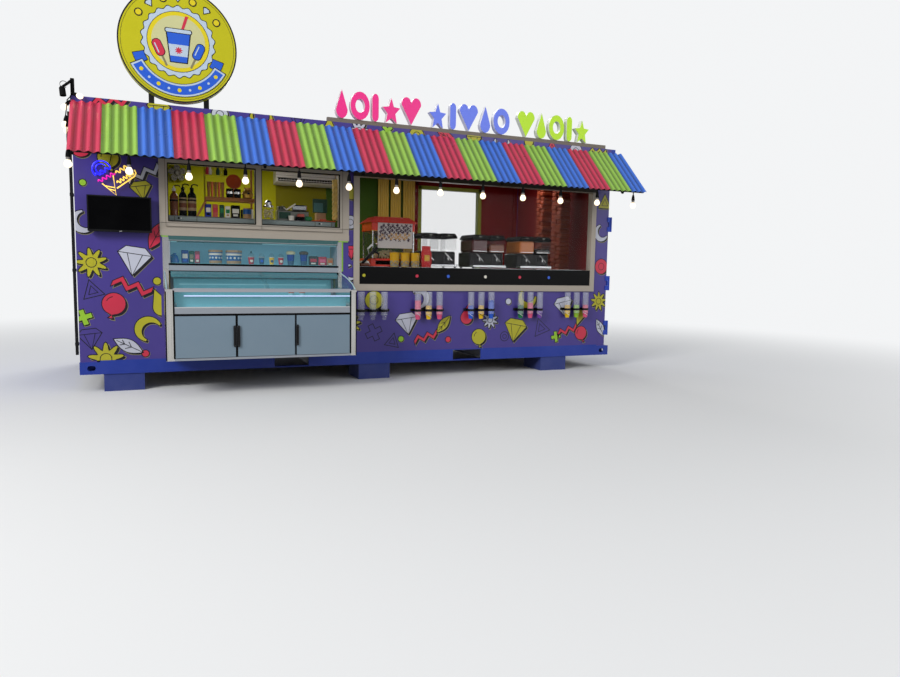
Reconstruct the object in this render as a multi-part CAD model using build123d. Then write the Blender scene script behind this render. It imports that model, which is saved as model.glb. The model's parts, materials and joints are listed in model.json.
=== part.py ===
"""Snack and drinks kiosk built in a 20-foot container: one STEP file per sub-part, in millimetres.

X runs along the serving front from left to right, Y from the front to the back, Z up from the ground.
The origin is on the ground, at the middle of the whole kiosk's box.
"""

from build123d import *
import math
import os

os.makedirs("parts", exist_ok=True)

# Gap that seats pieces which touch in the real one
seat_gap = 0.3

# Container shell
container_length = 6058
container_width = 2438
container_height = 2591
block_height = 170
casting_length = 178
casting_width = 162
casting_height = 118
casting_wall = 16
casting_cap = 28
lock_hole_length = 124
lock_hole_width = 63.5
lock_inset_x = 102.5
lock_inset_y = 89.5
face_hole_length = 76
face_hole_height = 50
slot_flat_count = 4
side_hole_in = 101
end_hole_in = 89
side_recess = 6
bottom_rail_height = 135
bottom_rail_depth = 76
bottom_rail_wall = 8
end_sill_depth = 100
top_rail_depth = 60
end_header_depth = 80
roof_thickness = 62
roof_drop = 8
roof_wave = 18
roof_pitch = 209
wall_thickness = 70
wall_wave = 36
wall_pitch = 278
front_panel = 60
lining = 12
lining_drop = 12
deck_rise = 45
deck_thickness = 28
member_height = 132
member_flange = 45
member_wall = 6
member_count = 14
member_end = 200
pocket_spacing = 2050
pocket_width = 360
pocket_height = 115
pocket_sole = 10
pocket_plate = 6
post_width = 110
post_length = 144
door_recess = 60

# Support blocks
block_length = 360
block_width = 420
block_inset = 10
block_left_in = 386
block_middle = -107
block_right_in = 809

# Serving window at the left: place along X from the left post, heights from the deck or below the roof rail
window_from_post = 584
window_width = 1885
window_rise = 1165
window_head = 353
window_bar = 80
window_right_bar = 104
window_sill = 140
window_groove = 10
window_groove_low = 62
window_groove_high = 12
window_mullion = 62
window_mullion_in = 908
window_depth = 90
window_proud = 22
pane_thickness = 8
pane_in = 20

# Display window at the right, from the serving window to the right rail end
display_gap = 54
display_end = 88
display_rise = 634
display_bar = 63
display_sill = 72
display_pane_count = 2
pane_seam = 2
strip_height = 190
strip_thickness = 42
strip_proud = 14

# Freezer below the serving window, heights from the deck
freezer_in_window = 20
freezer_end_in = 77
freezer_out = 600
freezer_in = 200
column_left_width = 70
column_right_width = 60
case_in_left = 53
case_in_right = 39
case_depth = 330
case_proud = 20
case_base = 77
case_lid = 45
case_end = 16
bay_rise = 420
band_rise = 495
rail_rise = 635
rim_rise = 660
case_rise = 820
column_set_back = 10
carcass_wall = 24
tub_wall = 60
door_count = 3
door_thickness = 18
door_gap = 5
door_rise = 25
pivot_radius = 4
pivot_clearance = 0.2
pivot_length = 12
handle_out = 16
handle_height = 190
handle_width = 22
handle_slope = 10
glass_sheet = 5
front_glass = 12
front_glass_in = 4
cheek_glass = 12
lid_gap = 7
lid_clearance = 7
lid_case_gap = 6
lid_bulge = 26
lid_foot = 4
lid_head = 14
lid_overlap = 30
track_rib = 5
rail_width = 40
slider_thickness = 8
slider_gap = 6
slider_end = 5
slider_overlap = 20
pass_shelf_in = 90
pass_shelf_depth = 310
pass_shelf_height = 150

# Awning over the front
awning_right_out = 84
awning_left_cut = 34
awning_right_cut = 78
awning_panel_count = 21
awning_drop = 519
awning_out = 523
awning_rise = 60
awning_sheet = 5
awning_ridge_count = 4
awning_wave = 18
ridge_flat_count = 6
awning_seam = 1
awning_tube = 30
awning_tube_in = 34
awning_arm = 24
awning_knee_share = 0.55
awning_knee_foot = 40

# Round sign and channel shapes on the roof edge
disc_diameter = 1070
disc_thickness = 90
disc_in = 939
disc_lift = 27
disc_proud = 40
sign_post = 50
sign_post_depth = 10
sign_post_spacing = 500
sign_rail_size = 44
sign_rail_end = 149
sign_rail_length = 3520
shape_height = 292
shape_narrow = 0.72
shape_depth = 70
shape_proud = 20
shape_flat_count = 10

# Screen on the front, left of the serving window
screen_width = 551
screen_window_gap = 70
screen_rise = 15
screen_height = 335
screen_thickness = 48
screen_stand_off = 42
screen_mount = 120

# Spot lamp on the left front casting
lamp_post = 32
lamp_post_in = 5
lamp_post_height = 155
lamp_arm = 16
lamp_arm_drop = 18
lamp_arm_sides = 8
lamp_reach = 62
lamp_neck = 16
lamp_head = 54
lamp_head_length = 102
lamp_head_sides = 12

# Tube racks below the display window
rack_first_in = 206
rack_last_in = 273
rack_count = 5
rack_width = 410
rack_rise = 372
rack_height = 90
rack_thickness = 22
tube_diameter = 76
tube_side_count = 12
tube_step = 132
tube_length = 307
tube_rise = 313
cup_show = 56

# Entry door in the back wall
doorway_end = 601
doorway_width = 920
doorway_head = 243
door_frame_bar = 50
entry_leaf = 45
entry_gap = 8
entry_step = 10
entry_rest_angle = 180
entry_hinge_in = 250
entry_pull = 140
entry_pull_rise = 1000
entry_pull_in = 70
entry_pull_out = 9
hinge_barrel = 10
hinge_pin = 5
hinge_clearance = 0.2
hinge_offset = 12
hinge_leaf = 6
hinge_web = 40
hinge_part = 30
hinge_play = 1
hinge_side_count = 12

# Cargo doors at the right end: hinges from the bottom rail up and from the roof rail down
cargo_leaf = 50
cargo_gap = 8
cargo_hinges_up = (215, 785)
cargo_hinges_down = (813, 243)
cargo_barrel = 60
cargo_axis_out = 32
cargo_axis_side = 12
cargo_lug = 20
cargo_border = 90
cargo_rib_count = 4
cargo_rib_depth = 24
cargo_rib_slope = 60
strap_gap = 6
strap_thickness = 18
strap_reach = 80
rod_radius = 17
rod_side_count = 16
rod_out = 20
rod_end = 10
rod_guide = 44
rod_guide_in = 60
rod_grip = 230
rod_grip_height = 28
rod_grip_rise = 820

# Air conditioner
cooler_from_window = 410
cooler_width = 900
cooler_depth = 220
cooler_height = 290
cooler_head = 103
cooler_chin = 60
condenser_in = 1215
condenser_width = 820
condenser_depth = 290
condenser_height = 560
condenser_rise = 550
condenser_stand_off = 46
condenser_mouth = 230
condenser_hub = 60
bracket_in = 130
bracket_width = 40
bracket_plate = 5
bracket_leg = 300

# Counters and machines seen through the windows
counter_height = 900
counter_depth = 600
counter_top = 40
counter_leg = 40
counter_inset = 20
counter_shelf_rise = 160
counter_shelf = 20
counter_bay = 900
front_counter_end = 150
back_counter_in = 179
back_counter_end = 260
machine_in = 60
popcorn_in = 226
popcorn_width = 560
popcorn_depth = 440
popcorn_body = 470
popcorn_base = 90
popcorn_roof = 90
popcorn_fascia = 50
popcorn_inset = 30
popcorn_roof_inset = 80
juicer_count = 3
juicer_gap = 60
juicer_bays = 3.55
juicer_width = 460
juicer_depth = 430
juicer_height = 400
juicer_base = 190
juicer_lid = 45
juicer_inset = 12
juicer_bowl_in = 30

# Derived places of the shell
half_length = container_length / 2
half_width = container_width / 2
front_reach = freezer_out + handle_out
back_reach = condenser_stand_off + condenser_depth
front_y = -(front_reach + container_width + back_reach) / 2 + front_reach
back_y = front_y + container_width
middle_y = front_y + half_width
base_z = block_height
top_z = base_z + container_height
rail_top = base_z + bottom_rail_height
deck_top = rail_top + deck_rise
deck_bottom = deck_top - deck_thickness
post_bottom = base_z + casting_height
post_top = top_z - casting_height
roof_z = top_z - casting_height
rail_x = half_length - casting_length
post_in = half_length - side_recess - post_length
door_plane = half_length - door_recess
wall_out = back_y - side_recess
inner_back = wall_out - wall_thickness
front_inner = front_y + front_panel

# Derived places of the windows
window_left = -post_in + window_from_post
window_right = window_left + window_width
window_bottom = deck_top + window_rise
window_top = roof_z - window_head
window_mullion_left = window_left + window_mullion_in
glass_bottom = window_bottom + window_sill
display_left = window_right + display_gap
display_right = rail_x - display_end
display_bottom = deck_top + display_rise
display_top = window_top
strip_bottom = display_bottom + display_sill
display_glass_bottom = strip_bottom + strip_height

# Derived places of the freezer
freezer_left = window_left + freezer_in_window
freezer_right = window_right - freezer_end_in
freezer_front = front_y - freezer_out
freezer_back = front_y + freezer_in
chest_left = freezer_left + column_left_width
chest_right = freezer_right - column_right_width
case_left = freezer_left + case_in_left
case_right = freezer_right - case_in_right
case_front = front_y - case_proud
bay_top = deck_top + bay_rise
band_top = deck_top + band_rise
rail_bottom = deck_top + rail_rise
chest_rim = deck_top + rim_rise
case_floor = deck_top + case_rise
door_bottom = deck_top + door_rise
door_face = freezer_front + door_thickness
pivot_inset = door_thickness / 2
lid_middle = (chest_left + chest_right) / 2
track_back = case_front - lid_case_gap
lower_front = freezer_front + track_rib + lid_clearance
lower_back = track_back - track_rib - lid_clearance
pivot_reach = door_gap + pivot_length - 3
freezer_door_joints = [chest_left + (chest_right - chest_left) * k / door_count for k in range(1, door_count)]

# Derived places of the awning, signs, screen and racks
awning_left = -half_length
awning_right = half_length + awning_right_out
awning_top = roof_z + awning_rise
awning_slope = math.atan2(awning_drop, awning_out)
awning_run = math.hypot(awning_drop, awning_out)
awning_brackets = (-half_length + 39, window_mullion_left + window_mullion / 2,
                   (window_right + display_left) / 2,
                   (display_left + display_right) / 2, display_right + 57)
ridge_crest = math.sin(2 * math.pi * round(ridge_flat_count / 4) / ridge_flat_count)
panel_first = awning_left - awning_left_cut
panel_width = (awning_right + awning_right_cut - panel_first) / awning_panel_count
disc_middle = -half_length + disc_in
sign_rail_right = half_length - sign_rail_end
sign_rail_left = sign_rail_right - sign_rail_length
screen_right = window_left - screen_window_gap
screen_left = screen_right - screen_width
screen_bottom = window_bottom + screen_rise
rack_first = display_left + rack_first_in
rack_step = (display_right - rack_last_in - rack_first) / (rack_count - 1)
rack_bottom = deck_top + rack_rise
tube_bottom = deck_top + tube_rise

# Derived places of the doors; a bore with flats clears the pin's corners at every angle
hinge_bore = (hinge_pin + hinge_clearance) / math.cos(math.pi / hinge_side_count)
doorway_right = rail_x - doorway_end
doorway_left = doorway_right - doorway_width
doorway_height = roof_z - deck_top - doorway_head
leaf_left = doorway_left + entry_gap
leaf_right = doorway_right - entry_gap
leaf_bottom = deck_top + entry_gap + entry_step
leaf_top = deck_top + doorway_height - entry_gap
entry_axis_x = doorway_left - hinge_play
entry_axis_y = wall_out + hinge_offset
entry_hinges = (deck_top + entry_hinge_in, deck_top + doorway_height / 2,
                deck_top + doorway_height - entry_hinge_in)
cargo_y0 = front_y + side_recess + post_width
cargo_y1 = back_y - side_recess - post_width
cargo_bottom = rail_top + cargo_gap
cargo_top = roof_z - cargo_gap
cargo_axis_x = door_plane + cargo_axis_out
cargo_hinges = [rail_top + up for up in cargo_hinges_up] + [roof_z - down for down in cargo_hinges_down]

# Derived places of what stands inside and behind
cooler_left = window_right - cooler_from_window
cooler_top = roof_z - cooler_head
condenser_left = -half_length + condenser_in
condenser_bottom = deck_top + condenser_rise
machine_y = front_inner + machine_in
counter_z = deck_top + counter_height
counter_right = rail_x - front_counter_end
popcorn_left = display_left + popcorn_in
popcorn_right = popcorn_left + popcorn_width
juicer_step = (counter_right - popcorn_right) / juicer_bays


def block(x, y, z):
    """A box from its low and high side on each axis."""
    size = (x[1] - x[0], y[1] - y[0], z[1] - z[0])
    middle = ((x[0] + x[1]) / 2, (y[0] + y[1]) / 2, (z[0] + z[1]) / 2)
    return Pos(*middle) * Box(*size)


def along_x(points, x0, x1):
    """A prism along X over an outline of (y, z) points."""
    outline = Polyline(*[(x0, y, z) for y, z in points], close=True)
    return extrude(make_face(outline), amount=x1 - x0, dir=(1, 0, 0))


def along_y(points, y0, y1):
    """A prism along Y over an outline of (x, z) points."""
    outline = Polyline(*[(x, y0, z) for x, z in points], close=True)
    return extrude(make_face(outline), amount=y1 - y0, dir=(0, 1, 0))


def along_z(points, z0, z1):
    """A prism along Z over an outline of (x, y) points."""
    outline = Polyline(*[(x, y, z0) for x, y in points], close=True)
    return extrude(make_face(outline), amount=z1 - z0, dir=(0, 0, 1))


def rod(start, end, radius, sides=0):
    """A bar between two points: round, or with flat sides on small pieces that repeat."""
    a = Vector(*start)
    b = Vector(*end)
    plane = Plane(origin=a, z_dir=b - a)
    section = RegularPolygon(radius, sides) if sides else Circle(radius)
    return extrude(plane * section, amount=(b - a).length)


def arc_points(middle, radius, start, end, flats):
    """Points along an arc in an outline, both ends included, angles in degrees."""
    points = []
    for k in range(flats + 1):
        angle = math.radians(start + (end - start) * k / flats)
        points.append((middle[0] + radius * math.cos(angle), middle[1] + radius * math.sin(angle)))
    return points


def slot_face(length, width):
    """Slot with round ends of a few flats each."""
    reach = (length - width) / 2
    points = arc_points((reach, 0), width / 2, -90, 90, slot_flat_count)
    points += arc_points((-reach, 0), width / 2, 90, 270, slot_flat_count)
    return make_face(Polyline(*points, close=True))


def wave_row(start, end, pitch):
    """How many waves fit along a stretch, and the plain margin left at each end."""
    count = int((end - start) // pitch)
    return count, (end - start - count * pitch) / 2


def wave_outline(start, end, outer, inner, depth, pitch):
    """Points of a trapezoid-corrugated wall: u along the wall, v across it, crests at outer."""
    count, margin = wave_row(start, end, pitch)
    crest = 0.13 * pitch
    slope = 0.24 * pitch
    side = 1 if outer > inner else -1
    points = [(start, outer)]
    for k in range(count):
        u = start + margin + k * pitch
        points.append((u + crest, outer))
        points.append((u + crest + slope, outer - side * depth))
        points.append((u + pitch - crest - slope, outer - side * depth))
        points.append((u + pitch - crest, outer))
    points += [(end, outer), (end, inner), (start, inner)]
    return points


# Base


def base_rails():
    """Two channel rails with their fork pockets cut through."""
    solids = []
    for sign in (-1, 1):
        outer = middle_y + sign * half_width
        web = outer - sign * bottom_rail_wall
        toe = outer - sign * bottom_rail_depth
        low = base_z + bottom_rail_wall
        high = rail_top - bottom_rail_wall
        channel = [(outer, base_z), (outer, rail_top), (toe, rail_top), (toe, high),
                   (web, high), (web, low), (toe, low), (toe, base_z)]
        rail = along_x(channel, -rail_x, rail_x)
        for place in (-pocket_spacing / 2, pocket_spacing / 2):
            rail -= block((place - pocket_width / 2, place + pocket_width / 2),
                          (min(outer, toe) - 1, max(outer, toe) + 1),
                          (base_z + pocket_sole, base_z + pocket_sole + pocket_height))
        solids.append(rail)
    return solids


def end_sills():
    """Box sills between the corner castings at both ends."""
    return [
        block((-half_length + side_recess, -half_length + side_recess + end_sill_depth),
              (front_y + casting_width, back_y - casting_width), (base_z, rail_top)),
        block((door_plane - end_sill_depth, door_plane),
              (front_y + casting_width, back_y - casting_width), (base_z, rail_top)),
    ]


def member_places():
    """X of each cross member: an even row, less those in the fork pockets, and one at each pocket side."""
    pocket_side = pocket_width / 2 + member_flange / 2
    span = rail_x - member_end
    places = []
    for k in range(member_count):
        x = -span + 2 * span * k / (member_count - 1)
        if abs(abs(x) - pocket_spacing / 2) > pocket_side + member_flange:
            places.append(x)
    for middle in (-pocket_spacing / 2, pocket_spacing / 2):
        places += [middle - pocket_side, middle + pocket_side]
    return sorted(places)


def cross_members():
    """Channel cross members under the deck."""
    low = deck_bottom - member_height
    solids = []
    for x in member_places():
        toward = 1 if x < 0 else -1
        web = x - toward * member_flange / 2
        toe = x + toward * member_flange / 2
        inner = web + toward * member_wall
        channel = [(web, low), (toe, low), (toe, low + member_wall), (inner, low + member_wall),
                   (inner, deck_bottom - member_wall), (toe, deck_bottom - member_wall),
                   (toe, deck_bottom), (web, deck_bottom)]
        solids.append(along_y(channel, front_y + bottom_rail_depth, back_y - bottom_rail_depth))
    return solids


def pocket_plates():
    """Top plates and bottom straps of the fork pockets."""
    solids = []
    top = base_z + pocket_sole + pocket_height
    for place in (-pocket_spacing / 2, pocket_spacing / 2):
        sides = (place - pocket_width / 2, place + pocket_width / 2)
        solids.append(block(sides, (front_y + bottom_rail_depth, back_y - bottom_rail_depth),
                            (top, top + pocket_plate)))
    return solids


def support_blocks():
    """Painted blocks under both bottom rails."""
    solids = []
    for x in (-half_length + block_left_in, block_middle, half_length - block_right_in):
        for y in (front_y + block_inset, back_y - block_inset - block_width):
            solids.append(block((x - block_length / 2, x + block_length / 2),
                                (y, y + block_width), (0, block_height)))
    return solids


def corner_castings():
    """Eight hollow corner castings with their lock holes."""
    solids = []
    for sx in (-1, 1):
        for sy in (-1, 1):
            for low, sz in ((base_z, -1), (top_z - casting_height, 1)):
                x_out = sx * half_length
                y_out = middle_y + sy * half_width
                x_in = x_out - sx * casting_length
                y_in = y_out - sy * casting_width
                shell = block(sorted((x_out, x_in)), sorted((y_out, y_in)), (low, low + casting_height))
                bottom_wall = casting_cap if sz < 0 else casting_wall
                top_wall = casting_wall if sz < 0 else casting_cap
                hollow = block(sorted((x_out - sx * casting_wall, x_in + sx * casting_wall)),
                               sorted((y_out - sy * casting_wall, y_in + sy * casting_wall)),
                               (low + bottom_wall, low + casting_height - top_wall))
                face_z = low if sz < 0 else low + casting_height
                slot = SlotOverall(lock_hole_length, lock_hole_width)
                lock = Pos(sx * (half_length - lock_inset_x), middle_y + sy * (half_width - lock_inset_y),
                           face_z - sz * (casting_cap + 4))
                lock = lock * extrude(slot, amount=sz * (casting_cap + 8))
                mid_z = low + casting_height / 2
                face_slot = slot_face(face_hole_length, face_hole_height)
                side_slot = Plane(origin=(x_out - sx * side_hole_in, y_out + sy, mid_z), x_dir=(1, 0, 0),
                                  z_dir=(0, -sy, 0)) * face_slot
                end_slot = Plane(origin=(x_out + sx, y_out - sy * end_hole_in, mid_z), x_dir=(0, 1, 0),
                                 z_dir=(-sx, 0, 0)) * face_slot
                casting = shell - hollow - lock
                casting -= extrude(side_slot, amount=casting_wall + 4)
                casting -= extrude(end_slot, amount=casting_wall + 4)
                solids.append(casting)
    return solids


def corner_posts():
    """Four posts between the castings."""
    solids = []
    for y0, y1 in ((front_y + side_recess, front_y + side_recess + post_width),
                   (back_y - side_recess - post_width, back_y - side_recess)):
        solids.append(block((-half_length + side_recess, -post_in), (y0, y1), (post_bottom, post_top)))
        post = block((rail_x, door_plane), (y0, y1), (post_bottom, post_top))
        side = -1 if y0 < middle_y else 1
        for z in cargo_hinges:
            post += cargo_hinge_fixed(side, z)
        solids.append(post)
    return solids


def top_rails():
    """Side rails and end headers of the roof."""
    rails = [
        block((-rail_x, rail_x), (front_y + side_recess, front_y + side_recess + top_rail_depth),
              (roof_z, top_z)),
        block((-rail_x, rail_x), (back_y - side_recess - top_rail_depth, back_y - side_recess),
              (roof_z, top_z)),
        block((-half_length + side_recess, -half_length + side_recess + top_rail_depth),
              (front_y + casting_width, back_y - casting_width), (roof_z, top_z)),
        block((door_plane - end_header_depth, door_plane), (front_y + casting_width, back_y - casting_width),
              (roof_z, top_z)),
    ]
    return rails


def roof_panel():
    """Roof with pressed ridges across it, a flat ceiling and plain plates to the end headers."""
    z = (top_z - roof_drop - roof_thickness, top_z - roof_drop)
    points = wave_outline(-rail_x, rail_x, z[1], z[0], roof_wave, roof_pitch)
    low_y = front_y + side_recess + top_rail_depth
    panel = along_y(points, low_y, back_y - side_recess - top_rail_depth)
    left_end = (-half_length + side_recess + top_rail_depth, -rail_x)
    for end in (left_end, (rail_x, door_plane - end_header_depth)):
        panel += block(end, (front_y + casting_width, back_y - casting_width), z)
    return panel


def floor_deck():
    """Floor boards on the cross members."""
    y = (front_inner, inner_back)
    z = (deck_bottom, deck_top)
    between_posts = (front_y + side_recess + post_width, back_y - side_recess - post_width)
    deck = block((-post_in, rail_x), y, z)
    deck += block((-half_length + side_recess + wall_thickness, -post_in), between_posts, z)
    return deck + block((rail_x, door_plane - cargo_leaf - cargo_gap), between_posts, z)


# Walls


def wall_back():
    """Corrugated back wall with the doorway cut from the floor up."""
    points = wave_outline(-post_in, rail_x, wall_out, wall_out - wall_thickness, wall_wave, wall_pitch)
    wall = along_z(points, rail_top, roof_z)
    return wall - block((doorway_left - door_frame_bar, doorway_right + door_frame_bar),
                        (inner_back - 1, back_y), (deck_top, deck_top + doorway_height + door_frame_bar))


def crest_near(x):
    """X of the back wall's crest nearest to x."""
    margin = wave_row(-post_in, rail_x, wall_pitch)[1]
    first = -post_in + margin
    return first + round((x - first) / wall_pitch) * wall_pitch


def wall_end_left():
    """Corrugated end wall between the left posts."""
    outer = -half_length + side_recess
    y0 = front_y + side_recess + post_width
    y1 = back_y - side_recess - post_width
    points = wave_outline(y0, y1, outer, outer + wall_thickness, wall_wave, wall_pitch)
    return along_z([(v, u) for u, v in points], rail_top, roof_z)


def front_wall_left():
    """Flat front panel beside the serving window, with the strip under the freezer."""
    outline = [(-post_in, rail_top), (freezer_right, rail_top), (freezer_right, deck_top),
               (freezer_left, deck_top), (freezer_left, window_bottom), (window_left, window_bottom),
               (window_left, roof_z), (-post_in, roof_z)]
    return along_y(outline, front_y, front_inner)


def front_wall_right():
    """Flat front panel over both windows, between them and round the display window."""
    outline = [(freezer_right, rail_top), (rail_x, rail_top), (rail_x, roof_z), (window_left, roof_z),
               (window_left, window_top), (window_right, window_top), (window_right, window_bottom),
               (freezer_right, window_bottom)]
    panel = along_y(outline, front_y, front_inner)
    return panel - block((display_left, display_right), (front_y - 1, front_inner + 1),
                         (display_bottom, display_top))


def linings():
    """Thin inner linings of the back wall, either side of the doorway, and of the left end."""
    y = (inner_back - lining, inner_back)
    z = (deck_top, roof_z - lining_drop)
    x0 = -half_length + side_recess + wall_thickness
    return [
        block((-post_in, doorway_left - door_frame_bar), y, z),
        block((doorway_right + door_frame_bar, rail_x), y, z),
        block((x0, x0 + lining), (front_y + side_recess + post_width, back_y - side_recess - post_width), z),
    ]


# Windows


def service_window_frame():
    """Aluminium frame of the serving window with its mullion and stepped sill."""
    y0 = front_y - window_proud
    frame = block((window_left, window_right), (y0, y0 + window_depth), (window_bottom, window_top))
    lights = ((window_left + window_bar, window_mullion_left),
              (window_mullion_left + window_mullion, window_right - window_right_bar))
    for light in lights:
        frame -= block(light, (y0 - 1, y0 + window_depth + 1), (glass_bottom, window_top - window_bar))
    frame -= block((window_left - 1, window_right + 1), (y0 - 1, y0 + window_groove),
                   (window_bottom + window_groove_low, glass_bottom - window_groove_high))
    return frame


def service_window_glass():
    """The serving window's two panes."""
    y0 = front_y + pane_in
    lights = ((window_left + window_bar, window_mullion_left),
              (window_mullion_left + window_mullion, window_right - window_right_bar))
    return [block(light, (y0, y0 + pane_thickness), (glass_bottom, window_top - window_bar))
            for light in lights]


def display_window_frame():
    """Frame of the long display window."""
    y0 = front_y - window_proud
    frame = block((display_left, display_right), (y0, y0 + window_depth), (display_bottom, display_top))
    frame -= block((display_left + display_bar, display_right - display_bar),
                   (y0 - 1, y0 + window_depth + 1), (strip_bottom, display_top - window_bar))
    return frame


def display_window_glass():
    """The display window's panes, side by side over the sign strip."""
    y0 = front_y + pane_in
    x0 = display_left + display_bar
    width = (display_right - display_bar - x0) / display_pane_count
    seam = pane_seam / 2
    return [block((x0 + k * width + seam, x0 + (k + 1) * width - seam), (y0, y0 + pane_thickness),
                  (display_glass_bottom, display_top - window_bar)) for k in range(display_pane_count)]


def sign_strip():
    """Blank black strip across the foot of the display window."""
    return block((display_left + display_bar, display_right - display_bar),
                 (front_y - strip_proud, front_y - strip_proud + strip_thickness),
                 (strip_bottom, display_glass_bottom))


# Freezer


def freezer_ends():
    """Polished end columns that carry the chest and stand beside the case."""
    solids = []
    for chest, case, out in ((chest_left, case_left, freezer_left), (chest_right, case_right, freezer_right)):
        low = block(sorted((out, chest)), (freezer_front, freezer_back), (deck_top, chest_rim))
        high = block(sorted((out, case)), (front_y - column_set_back, freezer_back),
                     (chest_rim, window_bottom))
        solids.append(low + high)
    return solids


def lid_height(y):
    """Underside of the lower lid over y: an arc from the front rim up to the case."""
    a = (lower_front, chest_rim + lid_foot)
    b = (case_front, case_floor - lid_head)
    chord = math.dist(a, b)
    radius = (chord ** 2 / 4 + lid_bulge ** 2) / (2 * lid_bulge)
    mid = ((a[0] + b[0]) / 2, (a[1] + b[1]) / 2)
    down = radius - lid_bulge
    centre = (mid[0] + (b[1] - a[1]) / chord * down, mid[1] - (b[0] - a[0]) / chord * down)
    return centre[1] + math.sqrt(radius ** 2 - (y - centre[0]) ** 2)


def curved_sheet(x0, x1, y0, y1, lift, thickness):
    """Curved glass over the chest, lifted above the lower lid's underside."""
    y_mid = (y0 + y1) / 2
    under = [(x0, y, lid_height(y) + lift) for y in (y0, y_mid, y1)]
    over = [(x0, y, lid_height(y) + lift + thickness) for y in (y0, y_mid, y1)]
    outline = [ThreePointArc(*under), Line(under[2], over[2]), ThreePointArc(*reversed(over)),
               Line(over[0], under[0])]
    return extrude(make_face(outline), amount=x1 - x0, dir=(1, 0, 0))


def freezer_lid_lower():
    """Right sliding lid, on the lower track."""
    return curved_sheet(lid_middle, chest_right - slider_end, lower_front, lower_back, 0, glass_sheet)


def freezer_lid_upper():
    """Left sliding lid, on the upper track."""
    return curved_sheet(chest_left + slider_end, lid_middle + lid_overlap, freezer_front, track_back,
                        glass_sheet + lid_gap, glass_sheet)


def freezer_end_glass():
    """Curved glass cheeks between the rim and the lids' line."""
    solids = []
    for x0 in (freezer_left + cheek_glass, freezer_right - 2 * cheek_glass):
        y0 = lower_front
        y1 = front_y - column_set_back
        y_mid = (y0 + y1) / 2
        top = [(x0, y, lid_height(y)) for y in (y0, y_mid, y1)]
        foot = [(x0, y1, chest_rim), (x0, y0, chest_rim)]
        outline = [ThreePointArc(*top), Line(top[2], foot[0]), Line(foot[0], foot[1]), Line(foot[1], top[0])]
        solids.append(extrude(make_face(outline), amount=cheek_glass, dir=(1, 0, 0)))
    return solids


def freezer_rails():
    """Front and back rails that the lids run on, each with a raised rib for the upper lid."""
    x = (chest_left, chest_right)
    step = glass_sheet + lid_gap - seat_gap
    front = block(x, (freezer_front, freezer_front + rail_width),
                  (rail_bottom, lid_height(lower_front) - seat_gap))
    front += block(x, (freezer_front, freezer_front + track_rib),
                   (rail_bottom, lid_height(freezer_front) + step))
    back_y0 = case_front - rail_width
    low = lid_height(back_y0) - rail_width
    back = block(x, (back_y0, case_front), (low, lid_height(back_y0) - seat_gap))
    back += block(x, (track_back - track_rib, track_back),
                  (low, lid_height(track_back - track_rib) + step))
    return [front, back]


def freezer_tub():
    """Chest floor band and inner back wall, open to the front glass."""
    inner = freezer_back - tub_wall
    outline = [(freezer_front, bay_top), (freezer_front, band_top), (inner, band_top),
               (inner, case_floor), (freezer_back, case_floor), (freezer_back, bay_top)]
    tub = along_x(outline, chest_left, chest_right)
    for pin in pivot_pins(bay_top - pivot_reach, bay_top + 4):
        tub += pin
    return tub


def freezer_glass():
    """Upright front, curved cheeks and case front, all fixed glass."""
    y0 = freezer_front + front_glass_in
    front = block((chest_left, chest_right), (y0, y0 + front_glass), (band_top, rail_bottom))
    return freezer_end_glass() + [front, case_glass()]


def freezer_carcass():
    """Cabinet below the chest with three bays behind its doors."""
    back = freezer_back
    body = block((chest_left, chest_right), (door_face + door_gap, back), (deck_top, bay_top))
    bays = bay_edges()
    for low, high in bays:
        body -= block((low, high), (door_face, back - carcass_wall),
                      (deck_top + carcass_wall, bay_top - carcass_wall))
    foot = door_bottom - door_gap
    body += block((chest_left, chest_right), (freezer_front, door_face + door_gap + 1), (deck_top, foot))
    for pin in pivot_pins(foot - 4, foot + pivot_reach):
        body += pin
    return body


def bay_edges():
    """Inner sides of the three bays."""
    half = carcass_wall / 2
    joints = [chest_left + half] + freezer_door_joints + [chest_right - half]
    return [(joints[k] + half, joints[k + 1] - half) for k in range(door_count)]


def freezer_door_spans():
    """Low and high side of each door, and 1 where it hangs on its high side."""
    gap = door_gap / 2
    joints = [chest_left + gap] + freezer_door_joints + [chest_right - gap]
    return [(joints[k] + gap, joints[k + 1] - gap, min(k, 1)) for k in range(door_count)]


def pivot_place(span):
    """X and Y of a freezer door's pivot."""
    low, high, on_high = span
    x = high - pivot_inset if on_high else low + pivot_inset
    return x, freezer_front + pivot_inset


def freezer_door(index):
    """One freezer door, rounded about its pivot, with its pivot holes and pull."""
    span = freezer_door_spans()[index]
    low, high, on_high = span
    top = bay_top - door_gap
    x, y = pivot_place(span)
    flat = (low, x) if on_high else (x, high)
    leaf = block(flat, (freezer_front, door_face), (door_bottom, top))
    leaf += rod((x, y, door_bottom), (x, y, top), pivot_inset)
    hole = pivot_radius + pivot_clearance
    for z in (door_bottom - 1, top - pivot_length):
        leaf -= rod((x, y, z), (x, y, z + pivot_length + 1), hole)
    return leaf + freezer_handle(span)


def freezer_handle(span):
    """Upright black pull at a door's free side."""
    low, high, on_high = span
    x0 = low + 2 if on_high else high - 2 - handle_width
    z0 = (door_bottom + bay_top) / 2 - handle_height / 2
    z1 = z0 + handle_height
    outline = [(freezer_front, z0), (freezer_front - handle_out, z0 + handle_slope),
               (freezer_front - handle_out, z1 - handle_slope), (freezer_front, z1)]
    return along_x(outline, x0, x0 + handle_width)


def pivot_pins(z0, z1):
    """A pivot pin of each door from z0 to z1."""
    places = [pivot_place(span) for span in freezer_door_spans()]
    return [rod((x, y, z0), (x, y, z1), pivot_radius) for x, y in places]


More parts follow.
